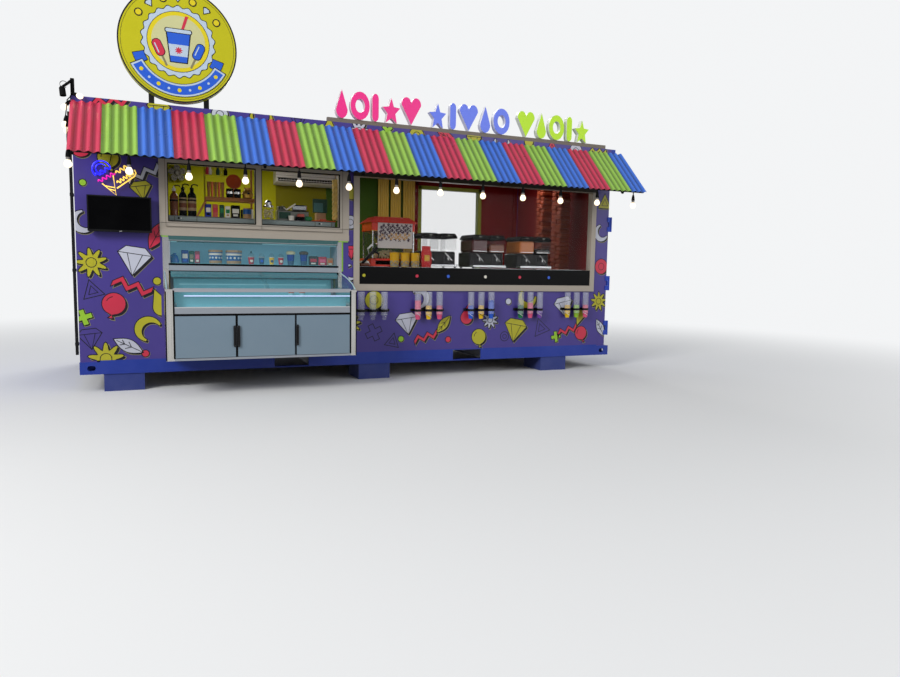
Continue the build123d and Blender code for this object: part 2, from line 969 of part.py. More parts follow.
def case_body():
    """Lit display case over the chest: base, ends and top."""
    x = (case_left, case_right)
    y = (case_front, case_front + case_depth)
    body = block(x, y, (case_floor, window_bottom))
    body -= block((case_left + case_end, case_right - case_end), (y[0] - 1, y[1] + 1),
                  (case_floor + case_base, window_bottom - case_lid))
    return body


def case_glass():
    """Front glass of the display case."""
    return block((case_left + case_end, case_right - case_end), (case_front + 6, case_front + 12),
                 (case_floor + case_base, window_bottom - case_lid))


def case_slider(index):
    """One sliding back door of the display case: 0 left and outer, 1 right and inner."""
    middle = (case_left + case_right) / 2
    end = case_end + slider_end
    x = (middle - slider_overlap, case_right - end) if index else (case_left + end, middle + slider_overlap)
    back = case_front + case_depth - 6 - index * (slider_thickness + slider_gap)
    return block(x, (back - slider_thickness, back),
                 (case_floor + case_base + seat_gap, window_bottom - case_lid - 6))


def pass_shelf():
    """Steel shelf box behind the serving window."""
    y0 = front_y + pass_shelf_in
    return block((case_left, case_right), (y0, y0 + pass_shelf_depth),
                 (window_bottom, window_bottom + pass_shelf_height))


# Awning


def awning_plane(u, v):
    """A point of the awning's section: u down the slope from the wall, v out of the sheet."""
    y = front_y - u * math.cos(awning_slope) - v * math.sin(awning_slope)
    z = awning_top - u * math.sin(awning_slope) + v * math.cos(awning_slope)
    return y, z


def awning_sheet_panel(index):
    """One sheet with rounded ridges that run down the slope; the first and the last are cut at the ends."""
    x0 = panel_first + index * panel_width
    pitch = panel_width / awning_ridge_count
    start = max(x0, awning_left) + awning_seam / 2
    end = min(x0 + panel_width, awning_right) - awning_seam / 2
    lift = awning_sheet + awning_wave / 2 + seat_gap
    y, z = awning_plane(0, lift)
    down = awning_plane(1, lift)
    plane = Plane(origin=(0, y, z), x_dir=(1, 0, 0), z_dir=(0, down[0] - y, down[1] - z))
    flats = [x0 + pitch * k / ridge_flat_count for k in range(awning_ridge_count * ridge_flat_count + 1)]
    stops = [start] + [x for x in flats if start + awning_seam < x < end - awning_seam] + [end]
    top = [(x, -awning_wave / 2 / ridge_crest * math.sin(2 * math.pi * (x - x0) / pitch)) for x in stops]
    bottom = [(u, v - awning_sheet) for u, v in reversed(top)]
    outline = plane * Polyline(*top, *bottom, close=True)
    return extrude(make_face(outline), amount=awning_run, dir=plane.z_dir)


def awning_colour(first):
    """Every third sheet, so that no two of one colour touch."""
    return [awning_sheet_panel(k) for k in range(first, awning_panel_count, 3)]


def awning_tubes():
    """Two square tubes along the awning, under its sheets."""
    solids = []
    for u in (awning_tube_in, awning_run - awning_tube_in - awning_tube):
        corners = [awning_plane(u, -awning_tube), awning_plane(u + awning_tube, -awning_tube),
                   awning_plane(u + awning_tube, 0), awning_plane(u, 0)]
        solids.append(along_x(corners, awning_left + seat_gap, awning_right - seat_gap))
    return solids


def awning_bracket(x):
    """One bracket on the wall: a sloped arm below the tubes, a knee and an upright."""
    arm_top = -awning_tube - seat_gap
    arm_low = arm_top - awning_tube
    sides = (x - awning_arm / 2, x + awning_arm / 2)
    slope = [awning_plane(0, arm_low), awning_plane(awning_run - awning_tube_in, arm_low),
             awning_plane(awning_run - awning_tube_in, arm_top), awning_plane(0, arm_top)]
    knee_y, knee_z = awning_plane(awning_run * awning_knee_share, arm_low)
    foot = window_top + awning_knee_foot
    knee = [(front_y, foot), (front_y, foot + awning_tube), (knee_y, knee_z + awning_tube / 2),
            (knee_y - awning_tube, knee_z)]
    upright = [(front_y, foot), (front_y - awning_arm / 2, foot), (front_y - awning_arm / 2, awning_top),
               (front_y, awning_top)]
    bracket = along_x(slope, *sides) + along_x(knee, *sides) + along_x(upright, *sides)
    tip = awning_plane(awning_run, arm_top)
    under = [(front_y, tip[1]), tip, awning_plane(-arm_top * math.tan(awning_slope), arm_top)]
    return (bracket & along_x(under, *sides)).solid()


def awning_frame():
    """Tubes and brackets that carry the sheets."""
    return awning_tubes() + [awning_bracket(x) for x in awning_brackets]


# Signs on the roof edge


def disc_sign():
    """Round sign box."""
    z = top_z + disc_lift + disc_diameter / 2
    y = front_y + side_recess
    back = y - disc_proud + disc_thickness
    return rod((disc_middle, y - disc_proud, z), (disc_middle, back, z), disc_diameter / 2)


def disc_posts():
    """Square posts behind the round sign, standing on the roof rail."""
    y0 = front_y + side_recess - disc_proud + disc_thickness
    solids = []
    for side in (-1, 1):
        x = disc_middle + side * sign_post_spacing / 2
        solids.append(block((x - sign_post / 2, x + sign_post / 2), (y0, y0 + sign_post_depth),
                            (top_z, top_z + disc_diameter * 0.8)))
    return solids


def sign_rail():
    """Rail that carries the channel shapes."""
    y0 = front_y + side_recess
    return block((sign_rail_left, sign_rail_right), (y0, y0 + sign_rail_size),
                 (top_z, top_z + sign_rail_size))


def sign_supports():
    """What carries the signs: the round sign's posts and the rail of the shapes."""
    return disc_posts() + [sign_rail()]


def slim(points):
    """Face of an outline drawn narrower than it is high."""
    return make_face(Polyline(*[(x * shape_narrow, z) for x, z in points], close=True))


def star(size, points=5, depth=0.45):
    """Star outline standing on two points."""
    tips = []
    for k in range(2 * points):
        radius = size / 2 if k % 2 == 0 else size / 2 * depth
        angle = math.pi / 2 + k * math.pi / points
        tips.append((radius * math.cos(angle), radius * math.sin(angle)))
    return slim(tips)


def heart(size):
    """Heart outline of two half rounds and two straight sides."""
    r = size * 0.27
    top = size * 0.5 - r
    points = arc_points((r, top), r, 0, 180, shape_flat_count)
    points += arc_points((-r, top), r, 0, 180, shape_flat_count)[1:] + [(0, -size / 2)]
    return slim(points)


def drop(size):
    """Drop outline: a round foot with a pointed top."""
    r = size * 0.3
    points = arc_points((0, r - size / 2), r, 180, 360, shape_flat_count) + [(0, size / 2)]
    return slim(points)


def ring(size):
    """Ring outline."""
    outer, inner = [arc_points((0, 0), r, 0, 360, 2 * shape_flat_count)[:-1] for r in (size / 2, size / 4)]
    return slim(outer) - slim(inner)


def pill(size):
    """Upright bar with round ends."""
    r = size * 0.17
    points = arc_points((0, size / 2 - r), r, 0, 180, shape_flat_count // 2)
    points += arc_points((0, r - size / 2), r, 180, 360, shape_flat_count // 2)
    return slim(points)


# Channel shapes on the rail. Columns: kind, middle from the rail's left end, node it belongs to.
shape_places = (
    ("drop", 150, "pink"), ("ring", 350, "pink"), ("pill", 520, "pink"), ("star", 700, "pink"),
    ("heart", 930, "pink"),
    ("star", 1245, "blue"), ("pill", 1430, "blue"), ("heart", 1625, "blue"), ("drop", 1835, "blue"),
    ("ring", 2045, "blue"),
    ("heart", 2370, "lime"), ("drop", 2580, "lime"), ("ring", 2790, "lime"), ("pill", 2970, "lime"),
    ("star", 3150, "lime"),
)
shape_makers = {"drop": drop, "ring": ring, "star": star, "heart": heart, "pill": pill}


def channel_shapes(colour):
    """The channel shapes of one colour, seated on the rail."""
    y0 = front_y + side_recess - shape_proud
    solids = []
    for kind, along, owner in shape_places:
        if owner != colour:
            continue
        face = shape_makers[kind](shape_height)
        low = face.bounding_box().min.Y
        plane = Plane(origin=(sign_rail_left + along, y0 + shape_depth, top_z + sign_rail_size - low),
                      x_dir=(1, 0, 0),
                      z_dir=(0, -1, 0))
        solids.append(extrude(plane * face, amount=shape_depth))
    return solids


# Front fittings


def screen():
    """Flat screen on the front, left of the window, with its wall bracket."""
    y1 = front_y - screen_stand_off
    x = (screen_left + screen_right) / 2
    z = screen_bottom + screen_height / 2
    panel = block((screen_left, screen_right), (y1 - screen_thickness, y1),
                  (screen_bottom, screen_bottom + screen_height))
    half = screen_mount / 2
    return panel + block((x - half, x + half), (y1 - 1, front_y), (z - half, z + half))


def corner_lamp():
    """Spot lamp on a bent arm over the left front casting, as far out as the awning's other end."""
    x0 = -half_length + lamp_post_in
    y0 = front_y + lamp_post_in
    post = block((x0, x0 + lamp_post), (y0, y0 + lamp_post), (top_z, top_z + lamp_post_height))
    arm_z = top_z + lamp_post_height - lamp_arm_drop
    head_x = lamp_head / 2 - awning_right
    head_y = front_y - lamp_reach
    head_top = arm_z - lamp_neck
    arm = rod((x0 + lamp_post / 2, y0 + lamp_post / 2, arm_z), (head_x, head_y, arm_z), lamp_arm / 2,
              lamp_arm_sides)
    neck = rod((head_x, head_y, head_top - 1), (head_x, head_y, arm_z + lamp_arm / 2), lamp_arm / 2,
               lamp_arm_sides)
    head = rod((head_x, head_y, head_top - lamp_head_length), (head_x, head_y, head_top), lamp_head / 2,
               lamp_head_sides)
    return post + arm + neck + head


def tube_racks():
    """Bars that carry the clear tubes, with stand-offs to the panel."""
    solids = []
    for k in range(rack_count):
        x = rack_first + k * rack_step
        y0 = front_y - rack_thickness
        solids.append(block((x - rack_width / 2, x + rack_width / 2), (y0, front_y),
                            (rack_bottom, rack_bottom + rack_height)))
    return solids


def tubes():
    """Cup tubes on the bars, each with the lowest cup showing."""
    radius = tube_diameter / 2
    solids = []
    for k in range(rack_count):
        for j in (-1, 0, 1):
            x = rack_first + k * rack_step + j * tube_step
            y = front_y - rack_thickness - radius - seat_gap
            cup_top = tube_bottom + cup_show
            tube = rod((x, y, cup_top), (x, y, tube_bottom + tube_length), radius, tube_side_count)
            foot = Pos(x, y, tube_bottom) * RegularPolygon(radius * 0.62, tube_side_count)
            rim = Pos(x, y, cup_top) * RegularPolygon(radius * 0.86, tube_side_count)
            solids.append(tube + loft([foot, rim], ruled=True))
    return solids


# Hinges. The fixed part and the leaf part share an axis along Z at the origin; the leaf lies to the side
# given by leaf_side, and both webs lie on the outer face, hinge_offset behind the axis.


def hinge_fixed(leaf_side):
    """Pin with its two end barrels and the web to the frame."""
    span = 1.5 * hinge_part + hinge_play
    piece = rod((0, 0, -span), (0, 0, span), hinge_pin, hinge_side_count)
    for low in (-span, 0.5 * hinge_part + hinge_play):
        piece += rod((0, 0, low), (0, 0, low + hinge_part), hinge_barrel, hinge_side_count)
        web = sorted((0, -leaf_side * hinge_web))
        piece += block(web, (-hinge_offset, -hinge_offset + hinge_leaf), (low, low + hinge_part))
    return piece


def hinge_moving(leaf_side):
    """Middle barrel with the web to the leaf."""
    half = hinge_part / 2
    piece = rod((0, 0, -half), (0, 0, half), hinge_barrel, hinge_side_count)
    web = sorted((0, leaf_side * hinge_web))
    piece += block(web, (-hinge_offset, -hinge_offset + hinge_leaf), (-half, half))
    return piece - rod((0, 0, -half - 1), (0, 0, half + 1), hinge_bore, hinge_side_count)


# Entry door, open flat against the back wall at rest


def swing_open(solid):
    """Turn a closed-door solid about the hinge axis to its rest angle."""
    about = Pos(entry_axis_x, entry_axis_y, 0)
    return about * Rot(0, 0, entry_rest_angle) * about.inverse() * solid


def entry_frame():
    """Steel frame round the doorway, with the fixed halves of the hinges."""
    bar = door_frame_bar
    y = (inner_back - lining, wall_out)
    top = deck_top + doorway_height
    frame = block((doorway_left - bar, doorway_right + bar), y, (deck_top, top + bar))
    frame -= block((doorway_left, doorway_right), (y[0] - 1, y[1] + 1), (deck_top - 1, top))
    for z in entry_hinges:
        frame += Pos(entry_axis_x, entry_axis_y, z) * hinge_fixed(1)
    return frame


def entry_door():
    """Door leaf with its moving hinge halves."""
    leaf = block((leaf_left, leaf_right), (wall_out - entry_leaf, wall_out), (leaf_bottom, leaf_top))
    for z in entry_hinges:
        leaf += Pos(entry_axis_x, entry_axis_y, z) * hinge_moving(1)
    for face, side in ((wall_out, 1), (wall_out - entry_leaf, -1)):
        z = deck_top + entry_pull_rise
        x = leaf_right - entry_pull_in
        half = entry_pull / 2
        leaf += block((x - half / 5, x + half / 5), sorted((face, face + side * entry_pull_out)),
                      (z - half, z + half))
    return swing_open(leaf)


# Cargo doors


def cargo_axis_y(side):
    """Y of a cargo door's hinge axis, outside the post's corner: side -1 front, 1 back."""
    return cargo_y0 - post_width - cargo_axis_side if side < 0 else cargo_y1 + post_width + cargo_axis_side


def cargo_hinge_fixed(side, z):
    """Pin, end barrels and the lugs that join them to the corner of the post."""
    x = cargo_axis_x
    y = cargo_axis_y(side)
    span = 1.5 * cargo_barrel + hinge_play
    piece = rod((x, y, z - span), (x, y, z + span), hinge_pin, hinge_side_count)
    for low in (z - span, z + cargo_barrel / 2 + hinge_play):
        piece += rod((x, y, low), (x, y, low + cargo_barrel), hinge_barrel, hinge_side_count)
        piece += block((door_plane - cargo_lug, x), sorted((y, y - side * cargo_lug)),
                       (low, low + cargo_barrel))
    return piece


def cargo_hinge_moving(side, z):
    """Middle barrel with the strap that crosses the post to its pad on the leaf."""
    x = cargo_axis_x
    y = cargo_axis_y(side)
    half = cargo_barrel / 2
    edge = cargo_axis_side + post_width + cargo_gap
    strap_x = door_plane + strap_gap
    piece = rod((x, y, z - half), (x, y, z + half), hinge_barrel, hinge_side_count)
    piece += block((strap_x, strap_x + strap_thickness), sorted((y, y - side * (edge + strap_reach))),
                   (z - half, z + half))
    piece += block((door_plane, strap_x), sorted((y - side * edge, y - side * (edge + strap_reach))),
                   (z - half, z + half))
    return piece - rod((x, y, z - half - 1), (x, y, z + half + 1), hinge_bore, hinge_side_count)


def cargo_door(side):
    """One corrugated leaf: side -1 front, 1 back."""
    gap = cargo_gap / 2
    middle = (cargo_y0 + cargo_y1) / 2
    y = (cargo_y0 + cargo_gap, middle - gap) if side < 0 else (middle + gap, cargo_y1 - cargo_gap)
    z = (cargo_bottom, cargo_top)
    inner = door_plane - cargo_leaf
    leaf = block((inner, door_plane), y, z)
    pitch = (z[1] - z[0] - 2 * cargo_border) / cargo_rib_count
    for k in range(cargo_rib_count):
        low = z[0] + cargo_border + (k + 0.18) * pitch
        high = low + 0.64 * pitch
        bottom = door_plane - cargo_rib_depth
        groove = [(door_plane + 1, low), (door_plane + 1, high), (bottom, high - cargo_rib_slope),
                  (bottom, low + cargo_rib_slope)]
        leaf -= along_y(groove, y[0] + cargo_border, y[1] - cargo_border)
    for place in cargo_hinges:
        leaf += cargo_hinge_moving(side, place)
    return leaf


def cargo_rods(side):
    """Two locking bars with guides and handles on one leaf, each bar many-sided."""
    solids = []
    middle = (cargo_y0 + cargo_y1) / 2
    width = (cargo_y1 - cargo_y0) / 2
    x = door_plane + rod_out
    z = (cargo_bottom + rod_end, cargo_top - rod_end)
    half = rod_guide / 2
    for share in (0.16, 0.66):
        y = middle + side * width * share
        bar = rod((x, y, z[0]), (x, y, z[1]), rod_radius, rod_side_count)
        for place in (z[0] + rod_guide_in, (z[0] + z[1]) / 2, z[1] - rod_guide_in):
            bar += block((door_plane, x), (y - half, y + half), (place - half, place + half))
        low = cargo_bottom + rod_grip_rise
        bar += block((x, x + bracket_plate), sorted((y, y + side * rod_grip)),
                     (low, low + rod_grip_height))
        solids.append(bar)
    return solids


# Air conditioner


def cooler():
    """Indoor unit of the air conditioner, high on the back wall."""
    y1 = inner_back - lining
    y0 = y1 - cooler_depth
    top = cooler_top
    low = top - cooler_height
    outline = [(y1, top), (y0 + cooler_chin / 3, top), (y0, top - cooler_chin), (y0 + cooler_chin, low),
               (y1, low)]
    return along_x(outline, cooler_left, cooler_left + cooler_width)


def condenser():
    """Outdoor unit behind the back wall, with its round grille ring."""
    y0 = back_y + condenser_stand_off
    y1 = y0 + condenser_depth
    x = (condenser_left, condenser_left + condenser_width)
    z = (condenser_bottom, condenser_bottom + condenser_height)
    body = block(x, (y0, y1), z)
    centre = (x[0] + condenser_width * 0.4, (z[0] + z[1]) / 2)
    mouth = rod((centre[0], y1 - 30, centre[1]), (centre[0], y1 + 1, centre[1]), condenser_mouth)
    hub = rod((centre[0], y1 - 31, centre[1]), (centre[0], y1 - 8, centre[1]), condenser_hub)
    return body - mouth + hub


def condenser_brackets():
    """Angle brackets that carry the outdoor unit, each on a crest of the back wall."""
    solids = []
    for place in (bracket_in, condenser_width - bracket_in):
        x = crest_near(condenser_left + place)
        y1 = back_y + condenser_stand_off + condenser_depth
        z = condenser_bottom
        half = bracket_width / 2
        arm = block((x - half, x + half), (wall_out, y1), (z - bracket_plate, z))
        leg = block((x - half, x + half), (wall_out, wall_out + bracket_plate), (z - bracket_leg, z))
        brace = [(wall_out, z - bracket_leg), (y1 - bracket_width, z - bracket_plate / 2),
                 (y1 - 2 * bracket_width, z - bracket_plate / 2), (wall_out, z - bracket_leg + bracket_width)]
        solids.append(arm + leg + along_x(brace, x - bracket_plate / 2, x + bracket_plate / 2))
    return solids


# Inside


def counter(x0, x1, y0):
    """Steel work counter on legs with a lower shelf."""
    y1 = y0 + counter_depth
    z = deck_top + counter_height
    inset = counter_inset
    table = block((x0, x1), (y0, y1), (z - counter_top, z))
    low = deck_top + counter_shelf_rise
    table += block((x0 + inset, x1 - inset), (y0 + inset, y1 - inset), (low, low + counter_shelf))
    count = max(2, round((x1 - x0) / counter_bay) + 1)
    for k in range(count):
        x = x0 + inset + k * (x1 - x0 - 2 * inset - counter_leg) / (count - 1)
        for y in (y0 + inset, y1 - inset - counter_leg):
            table += block((x, x + counter_leg), (y, y + counter_leg), (deck_top, z - counter_top / 2))
    return table


def front_counter():
    """Counter under the display window."""
    return counter(display_left + counter_inset, counter_right, front_inner + counter_inset)


def back_counter():
    """Counter along the back wall, left of the doorway."""
    return counter(-post_in + back_counter_in, doorway_left - back_counter_end,
                   inner_back - lining - counter_depth - hinge_play)


def popcorn_machine():
    """Glazed popcorn cabinet with a hipped roof."""
    x = (popcorn_left, popcorn_right)
    y = (machine_y, machine_y + popcorn_depth)
    eave = counter_z + popcorn_body
    inset = popcorn_inset
    base = block(x, y, (counter_z, counter_z + popcorn_base))
    body = block((x[0] + inset, x[1] - inset), (y[0] + inset, y[1] - inset), (counter_z + popcorn_base, eave))
    middle = ((x[0] + x[1]) / 2, (y[0] + y[1]) / 2)
    lower = Pos(*middle, eave) * Rectangle(popcorn_width, popcorn_depth)
    upper = Pos(*middle, eave + popcorn_roof) * Rectangle(popcorn_width - 2 * popcorn_roof_inset,
                                                          popcorn_depth - 2 * popcorn_roof_inset)
    fascia = block(x, y, (eave - popcorn_fascia, eave))
    return base + body + fascia + loft([lower, upper], ruled=True)


def juicer_lefts():
    """Left side of each twin juice dispenser."""
    return [popcorn_right + juicer_gap + k * juicer_step for k in range(juicer_count)]


def juice_bases():
    """Black bases of the twin juice dispensers."""
    return [block((x0, x0 + juicer_width), (machine_y, machine_y + juicer_depth),
                  (counter_z, counter_z + juicer_base)) for x0 in juicer_lefts()]


def juicer_stack(low, high):
    """Two blocks side by side on each dispenser, between two heights over the counter."""
    solids = []
    bowl = juicer_width / 2 - 2 * juicer_inset
    y = (machine_y + juicer_bowl_in, machine_y + juicer_depth - juicer_bowl_in)
    for x0 in juicer_lefts():
        for k in (0, 1):
            x = x0 + juicer_inset + k * juicer_width / 2
            solids.append(block((x, x + bowl), y, (counter_z + low, counter_z + high)))
    return solids


def juice_bowls():
    """Clear bowls on the dispenser bases."""
    return juicer_stack(juicer_base, juicer_height - juicer_lid)


def juice_lids():
    """Black lids on the bowls."""
    return juicer_stack(juicer_height - juicer_lid, juicer_height)


# Every node and the solids it holds
nodes = {
    "bottom_rails": base_rails() + end_sills(),
    "cross_members": cross_members(),
    "pocket_plates": pocket_plates(),
    "support_blocks": support_blocks(),
    "corner_castings": corner_castings(),
    "corner_posts": corner_posts(),
    "top_rails": top_rails(),
    "roof_panel": roof_panel(),
    "floor_deck": floor_deck(),
    "wall_back": wall_back(),
    "wall_end_left": wall_end_left(),
    "front_wall_left": front_wall_left(),
    "front_wall_right": front_wall_right(),
    "linings": linings(),
    "service_window_frame": service_window_frame(),
    "service_window_glass": service_window_glass(),
    "display_window_frame": display_window_frame(),
    "display_window_glass": display_window_glass(),
    "sign_strip": sign_strip(),
    "freezer_ends": freezer_ends(),
    "freezer_glass": freezer_glass(),
    "freezer_carcass": freezer_carcass(),
    "freezer_tub": freezer_tub(),
    "freezer_rails": freezer_rails(),
    "freezer_lid_lower": freezer_lid_lower(),
    "freezer_lid_upper": freezer_lid_upper(),
    "freezer_door_left": freezer_door(0),
    "freezer_door_middle": freezer_door(1),
    "freezer_door_right": freezer_door(2),
    "case_body": case_body(),
    "case_slider_left": case_slider(0),
    "case_slider_right": case_slider(1),
    "pass_shelf": pass_shelf(),
    "awning_red": awning_colour(0),
    "awning_green": awning_colour(1),
    "awning_blue": awning_colour(2),
    "awning_frame": awning_frame(),
    "disc_sign": disc_sign(),
    "sign_supports": sign_supports(),
    "shapes_pink": channel_shapes("pink"),
    "shapes_blue": channel_shapes("blue"),
    "shapes_lime": channel_shapes("lime"),
    "screen": screen(),
    "corner_lamp": corner_lamp(),
    "tube_racks": tube_racks() + tubes(),
    "entry_frame": entry_frame(),
    "entry_door": entry_door(),
    "cargo_door_front": cargo_door(-1),
    "cargo_door_back": cargo_door(1),
    "cargo_rods_front": cargo_rods(-1),
    "cargo_rods_back": cargo_rods(1),
    "cooler": cooler(),
    "condenser": condenser(),
    "condenser_brackets": condenser_brackets(),
    "counters": [front_counter(), back_counter()],
    "popcorn_machine": popcorn_machine(),
    "juicer_housings": juice_bases() + juice_lids(),
    "juicer_bowls": juice_bowls(),
}

for name, solids in nodes.items():
    shape = Compound(solids) if isinstance(solids, list) else solids
    export_step(shape, f"parts/{name}.step")
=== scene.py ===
"""Looks of a container snack kiosk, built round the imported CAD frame. Metres, +Z up, the front faces -Y."""
import json
import math

import bpy
from mathutils import Matrix, Vector


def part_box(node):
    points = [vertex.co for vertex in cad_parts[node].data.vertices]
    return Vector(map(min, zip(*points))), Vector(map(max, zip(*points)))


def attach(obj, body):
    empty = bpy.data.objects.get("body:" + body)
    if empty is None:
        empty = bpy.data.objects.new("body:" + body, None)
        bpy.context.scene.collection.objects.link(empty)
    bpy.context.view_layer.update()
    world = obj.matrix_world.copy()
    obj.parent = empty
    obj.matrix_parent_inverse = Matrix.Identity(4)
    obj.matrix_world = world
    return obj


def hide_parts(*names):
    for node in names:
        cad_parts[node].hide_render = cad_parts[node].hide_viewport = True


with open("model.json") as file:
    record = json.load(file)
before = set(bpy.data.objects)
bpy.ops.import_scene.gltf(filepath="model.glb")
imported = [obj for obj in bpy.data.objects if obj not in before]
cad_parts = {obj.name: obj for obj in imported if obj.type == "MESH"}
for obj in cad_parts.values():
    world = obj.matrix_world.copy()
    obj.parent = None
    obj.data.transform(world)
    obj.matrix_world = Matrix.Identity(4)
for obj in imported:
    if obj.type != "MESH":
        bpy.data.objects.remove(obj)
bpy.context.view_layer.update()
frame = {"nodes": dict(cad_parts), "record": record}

# Places read from the frame
front_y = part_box("front_wall_left")[0].y
post_face_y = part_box("top_rails")[0].y
wall_low, wall_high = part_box("front_wall_left")[0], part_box("front_wall_right")[1]
rail_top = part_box("bottom_rails")[1].z
window_low, window_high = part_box("service_window_frame")
display_low, display_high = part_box("display_window_frame")
case_low, case_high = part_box("case_body")
tub_low, tub_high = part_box("freezer_tub")
ends_low, ends_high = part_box("freezer_ends")
deck_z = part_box("floor_deck")[1].z
counter_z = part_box("counters")[1].z
shell_low, shell_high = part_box("corner_castings")
awning_low, awning_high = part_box("awning_frame")
lining_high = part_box("linings")[1]

# Ridges of the awning's sheets, as in part.py: the first starts left of the container
sheet_count, ridges_a_sheet = 21, 4
awning_start = shell_low.x - 0.034
ridge_pitch = (shell_high.x + 0.084 + 0.078 - awning_start) / sheet_count / ridges_a_sheet


# Materials
def srgb(red, green, blue):
    """A colour given as 0 to 255 display values, as linear light."""
    return tuple(((v / 255 + 0.055) / 1.055) ** 2.4 if v > 10 else v / 255 / 12.92 for v in (red, green, blue))


def wire(made, sockets):
    """Give sockets, by name or number, a value or the output that feeds them."""
    for key, value in sockets.items():
        if isinstance(value, bpy.types.NodeSocket):
            made.id_data.links.new(value, made.inputs[key])
        else:
            made.inputs[key].default_value = value
    return made


def node(tree, kind, sockets=(), **settings):
    """A shader node with its settings and its sockets; math nodes are given by their operation."""
    if kind in ("GREATER_THAN", "MULTIPLY_ADD", "SINE", "MULTIPLY", "MAXIMUM"):
        kind, settings = "Math", {"operation": kind}
    made = tree.nodes.new("ShaderNode" + kind)
    for key, value in settings.items():
        setattr(made, key, value)
    return wire(made, dict(sockets)).outputs


def span(tree, value, low, high, to_low, to_high, **settings):
    """A value carried from one range to another."""
    return node(tree, "MapRange", {"Value": value, "From Min": low, "From Max": high, "To Min": to_low,
                                   "To Max": to_high}, **settings)[0]


def blend(tree, factor, first, second):
    """A mix of two colours, each a tuple or a socket."""
    first, second = ((*c, 1) if isinstance(c, tuple) else c for c in (first, second))
    return node(tree, "Mix", {"Factor": factor, 6: first, 7: second}, data_type="RGBA")[2]


def finish(name, rgb, rough=0.45, metal=0.0, vary=0.1, scale=4.0, stretch=(1, 1, 1), bump=0.0, bump_scale=90.0,
           dust=0.0, coat=0.0, alpha=1.0, glow=0.0, shine=0.3, sides=(), trough_shade=0.0):
    """A finish whose shade, roughness and relief wander over the surface; dust gathers low down.
    Each side (axis, place, rgb) paints what lies beyond a place on an axis in another colour.
    A share of painted shade darkens the troughs of the awning's ridges, as the ridges would shade them."""
    colour = srgb(*rgb)
    mat = bpy.data.materials.new(name)
    mat.use_nodes = True
    tree = mat.node_tree
    shader = wire(tree.nodes["Principled BSDF"], {
        "Metallic": metal, "Coat Weight": coat, "Coat Roughness": 0.12, "Alpha": alpha, "Specular IOR Level": shine})
    where = node(tree, "TexCoord")["Object"]
    spread = node(tree, "Mapping", {"Scale": stretch, "Vector": where})[0]
    cloud = node(tree, "TexNoise", {"Scale": scale, "Detail": 5.0, "Roughness": 0.6, "Vector": spread})["Fac"]
    dark = tuple(v * (1 - vary) for v in colour)
    light = tuple(min(1.0, v * (1 + vary) + 0.01 * vary) for v in colour)
    shade = blend(tree, cloud, dark, light)
    split = node(tree, "SeparateXYZ", {0: where})
    for axis, place, other in sides:
        shade = blend(tree, node(tree, "GREATER_THAN", {0: split[axis], 1: place})[0], shade, srgb(*other))
    # Painted shade: the ridges' troughs blend towards a dark copy of the colour, as if shaded by the crests
    if trough_shade:
        turns = {0: split[0], 1: 2 * math.pi / ridge_pitch, 2: -2 * math.pi * awning_start / ridge_pitch}
        swing = node(tree, "SINE", {0: node(tree, "MULTIPLY_ADD", turns)[0]})[0]
        shade = blend(tree, span(tree, swing, -0.6, 1.0, 0.0, trough_shade), shade, tuple(v * 0.28 for v in colour))
    if dust:
        patch = node(tree, "MULTIPLY", {0: span(tree, split[2], 0.0, 1.1, dust, 0.0), 1: cloud})[0]
        shade = blend(tree, patch, shade, srgb(150, 140, 125))
    gloss = span(tree, cloud, 0.3, 0.7, max(0.02, rough * 0.8), min(1.0, rough * 1.2))
    wire(shader, {"Base Color": shade, "Roughness": gloss})
    if bump:
        grain = node(tree, "TexNoise", {"Scale": bump_scale, "Detail": 3.0, "Vector": spread})["Fac"]
        wire(shader, {"Normal": node(tree, "Bump", {"Strength": bump, "Distance": 0.002, "Height": grain})[0]})
    if glow:
        wire(shader, {"Emission Color": (*colour, 1), "Emission Strength": glow})
    return mat


black = finish("black", (13, 13, 15), rough=0.4, bump=0.1, shine=0.22)
dull_black = finish("dull_black", (9, 9, 10), rough=0.8, shine=0.1)
edge_black = finish("edge_black", (26, 27, 30), rough=0.4)
rubber = finish("rubber", (12, 12, 12), rough=0.75, bump=0.3, shine=0.2)
chrome = finish("chrome", (205, 205, 205), rough=0.12, metal=1.0, vary=0.05)
bright_steel = finish("bright_steel", (185, 186, 188), rough=0.25, metal=1.0, stretch=(1, 1, 12), bump=0.05)
white = finish("white", (226, 226, 222), rough=0.4, vary=0.04)
cream = finish("cream", (172, 162, 149), rough=0.42, vary=0.06, bump=0.05)
clear = finish("clear", (90, 96, 98), rough=0.04, vary=0.02, alpha=0.12, coat=0.2)
lime_glow = finish("lime_glow", (120, 170, 50), glow=0.35)
cool_glow = finish("cool_glow", (196, 208, 245), glow=0.75)
soft_glow = finish("soft_glow", (150, 205, 215), glow=0.35)
warm_glow = finish("warm_glow", (255, 232, 196), glow=1.6)
wood = finish("wood", (166, 104, 52), rough=0.5, vary=0.25, scale=9.0, stretch=(1, 8, 8), bump=0.2)

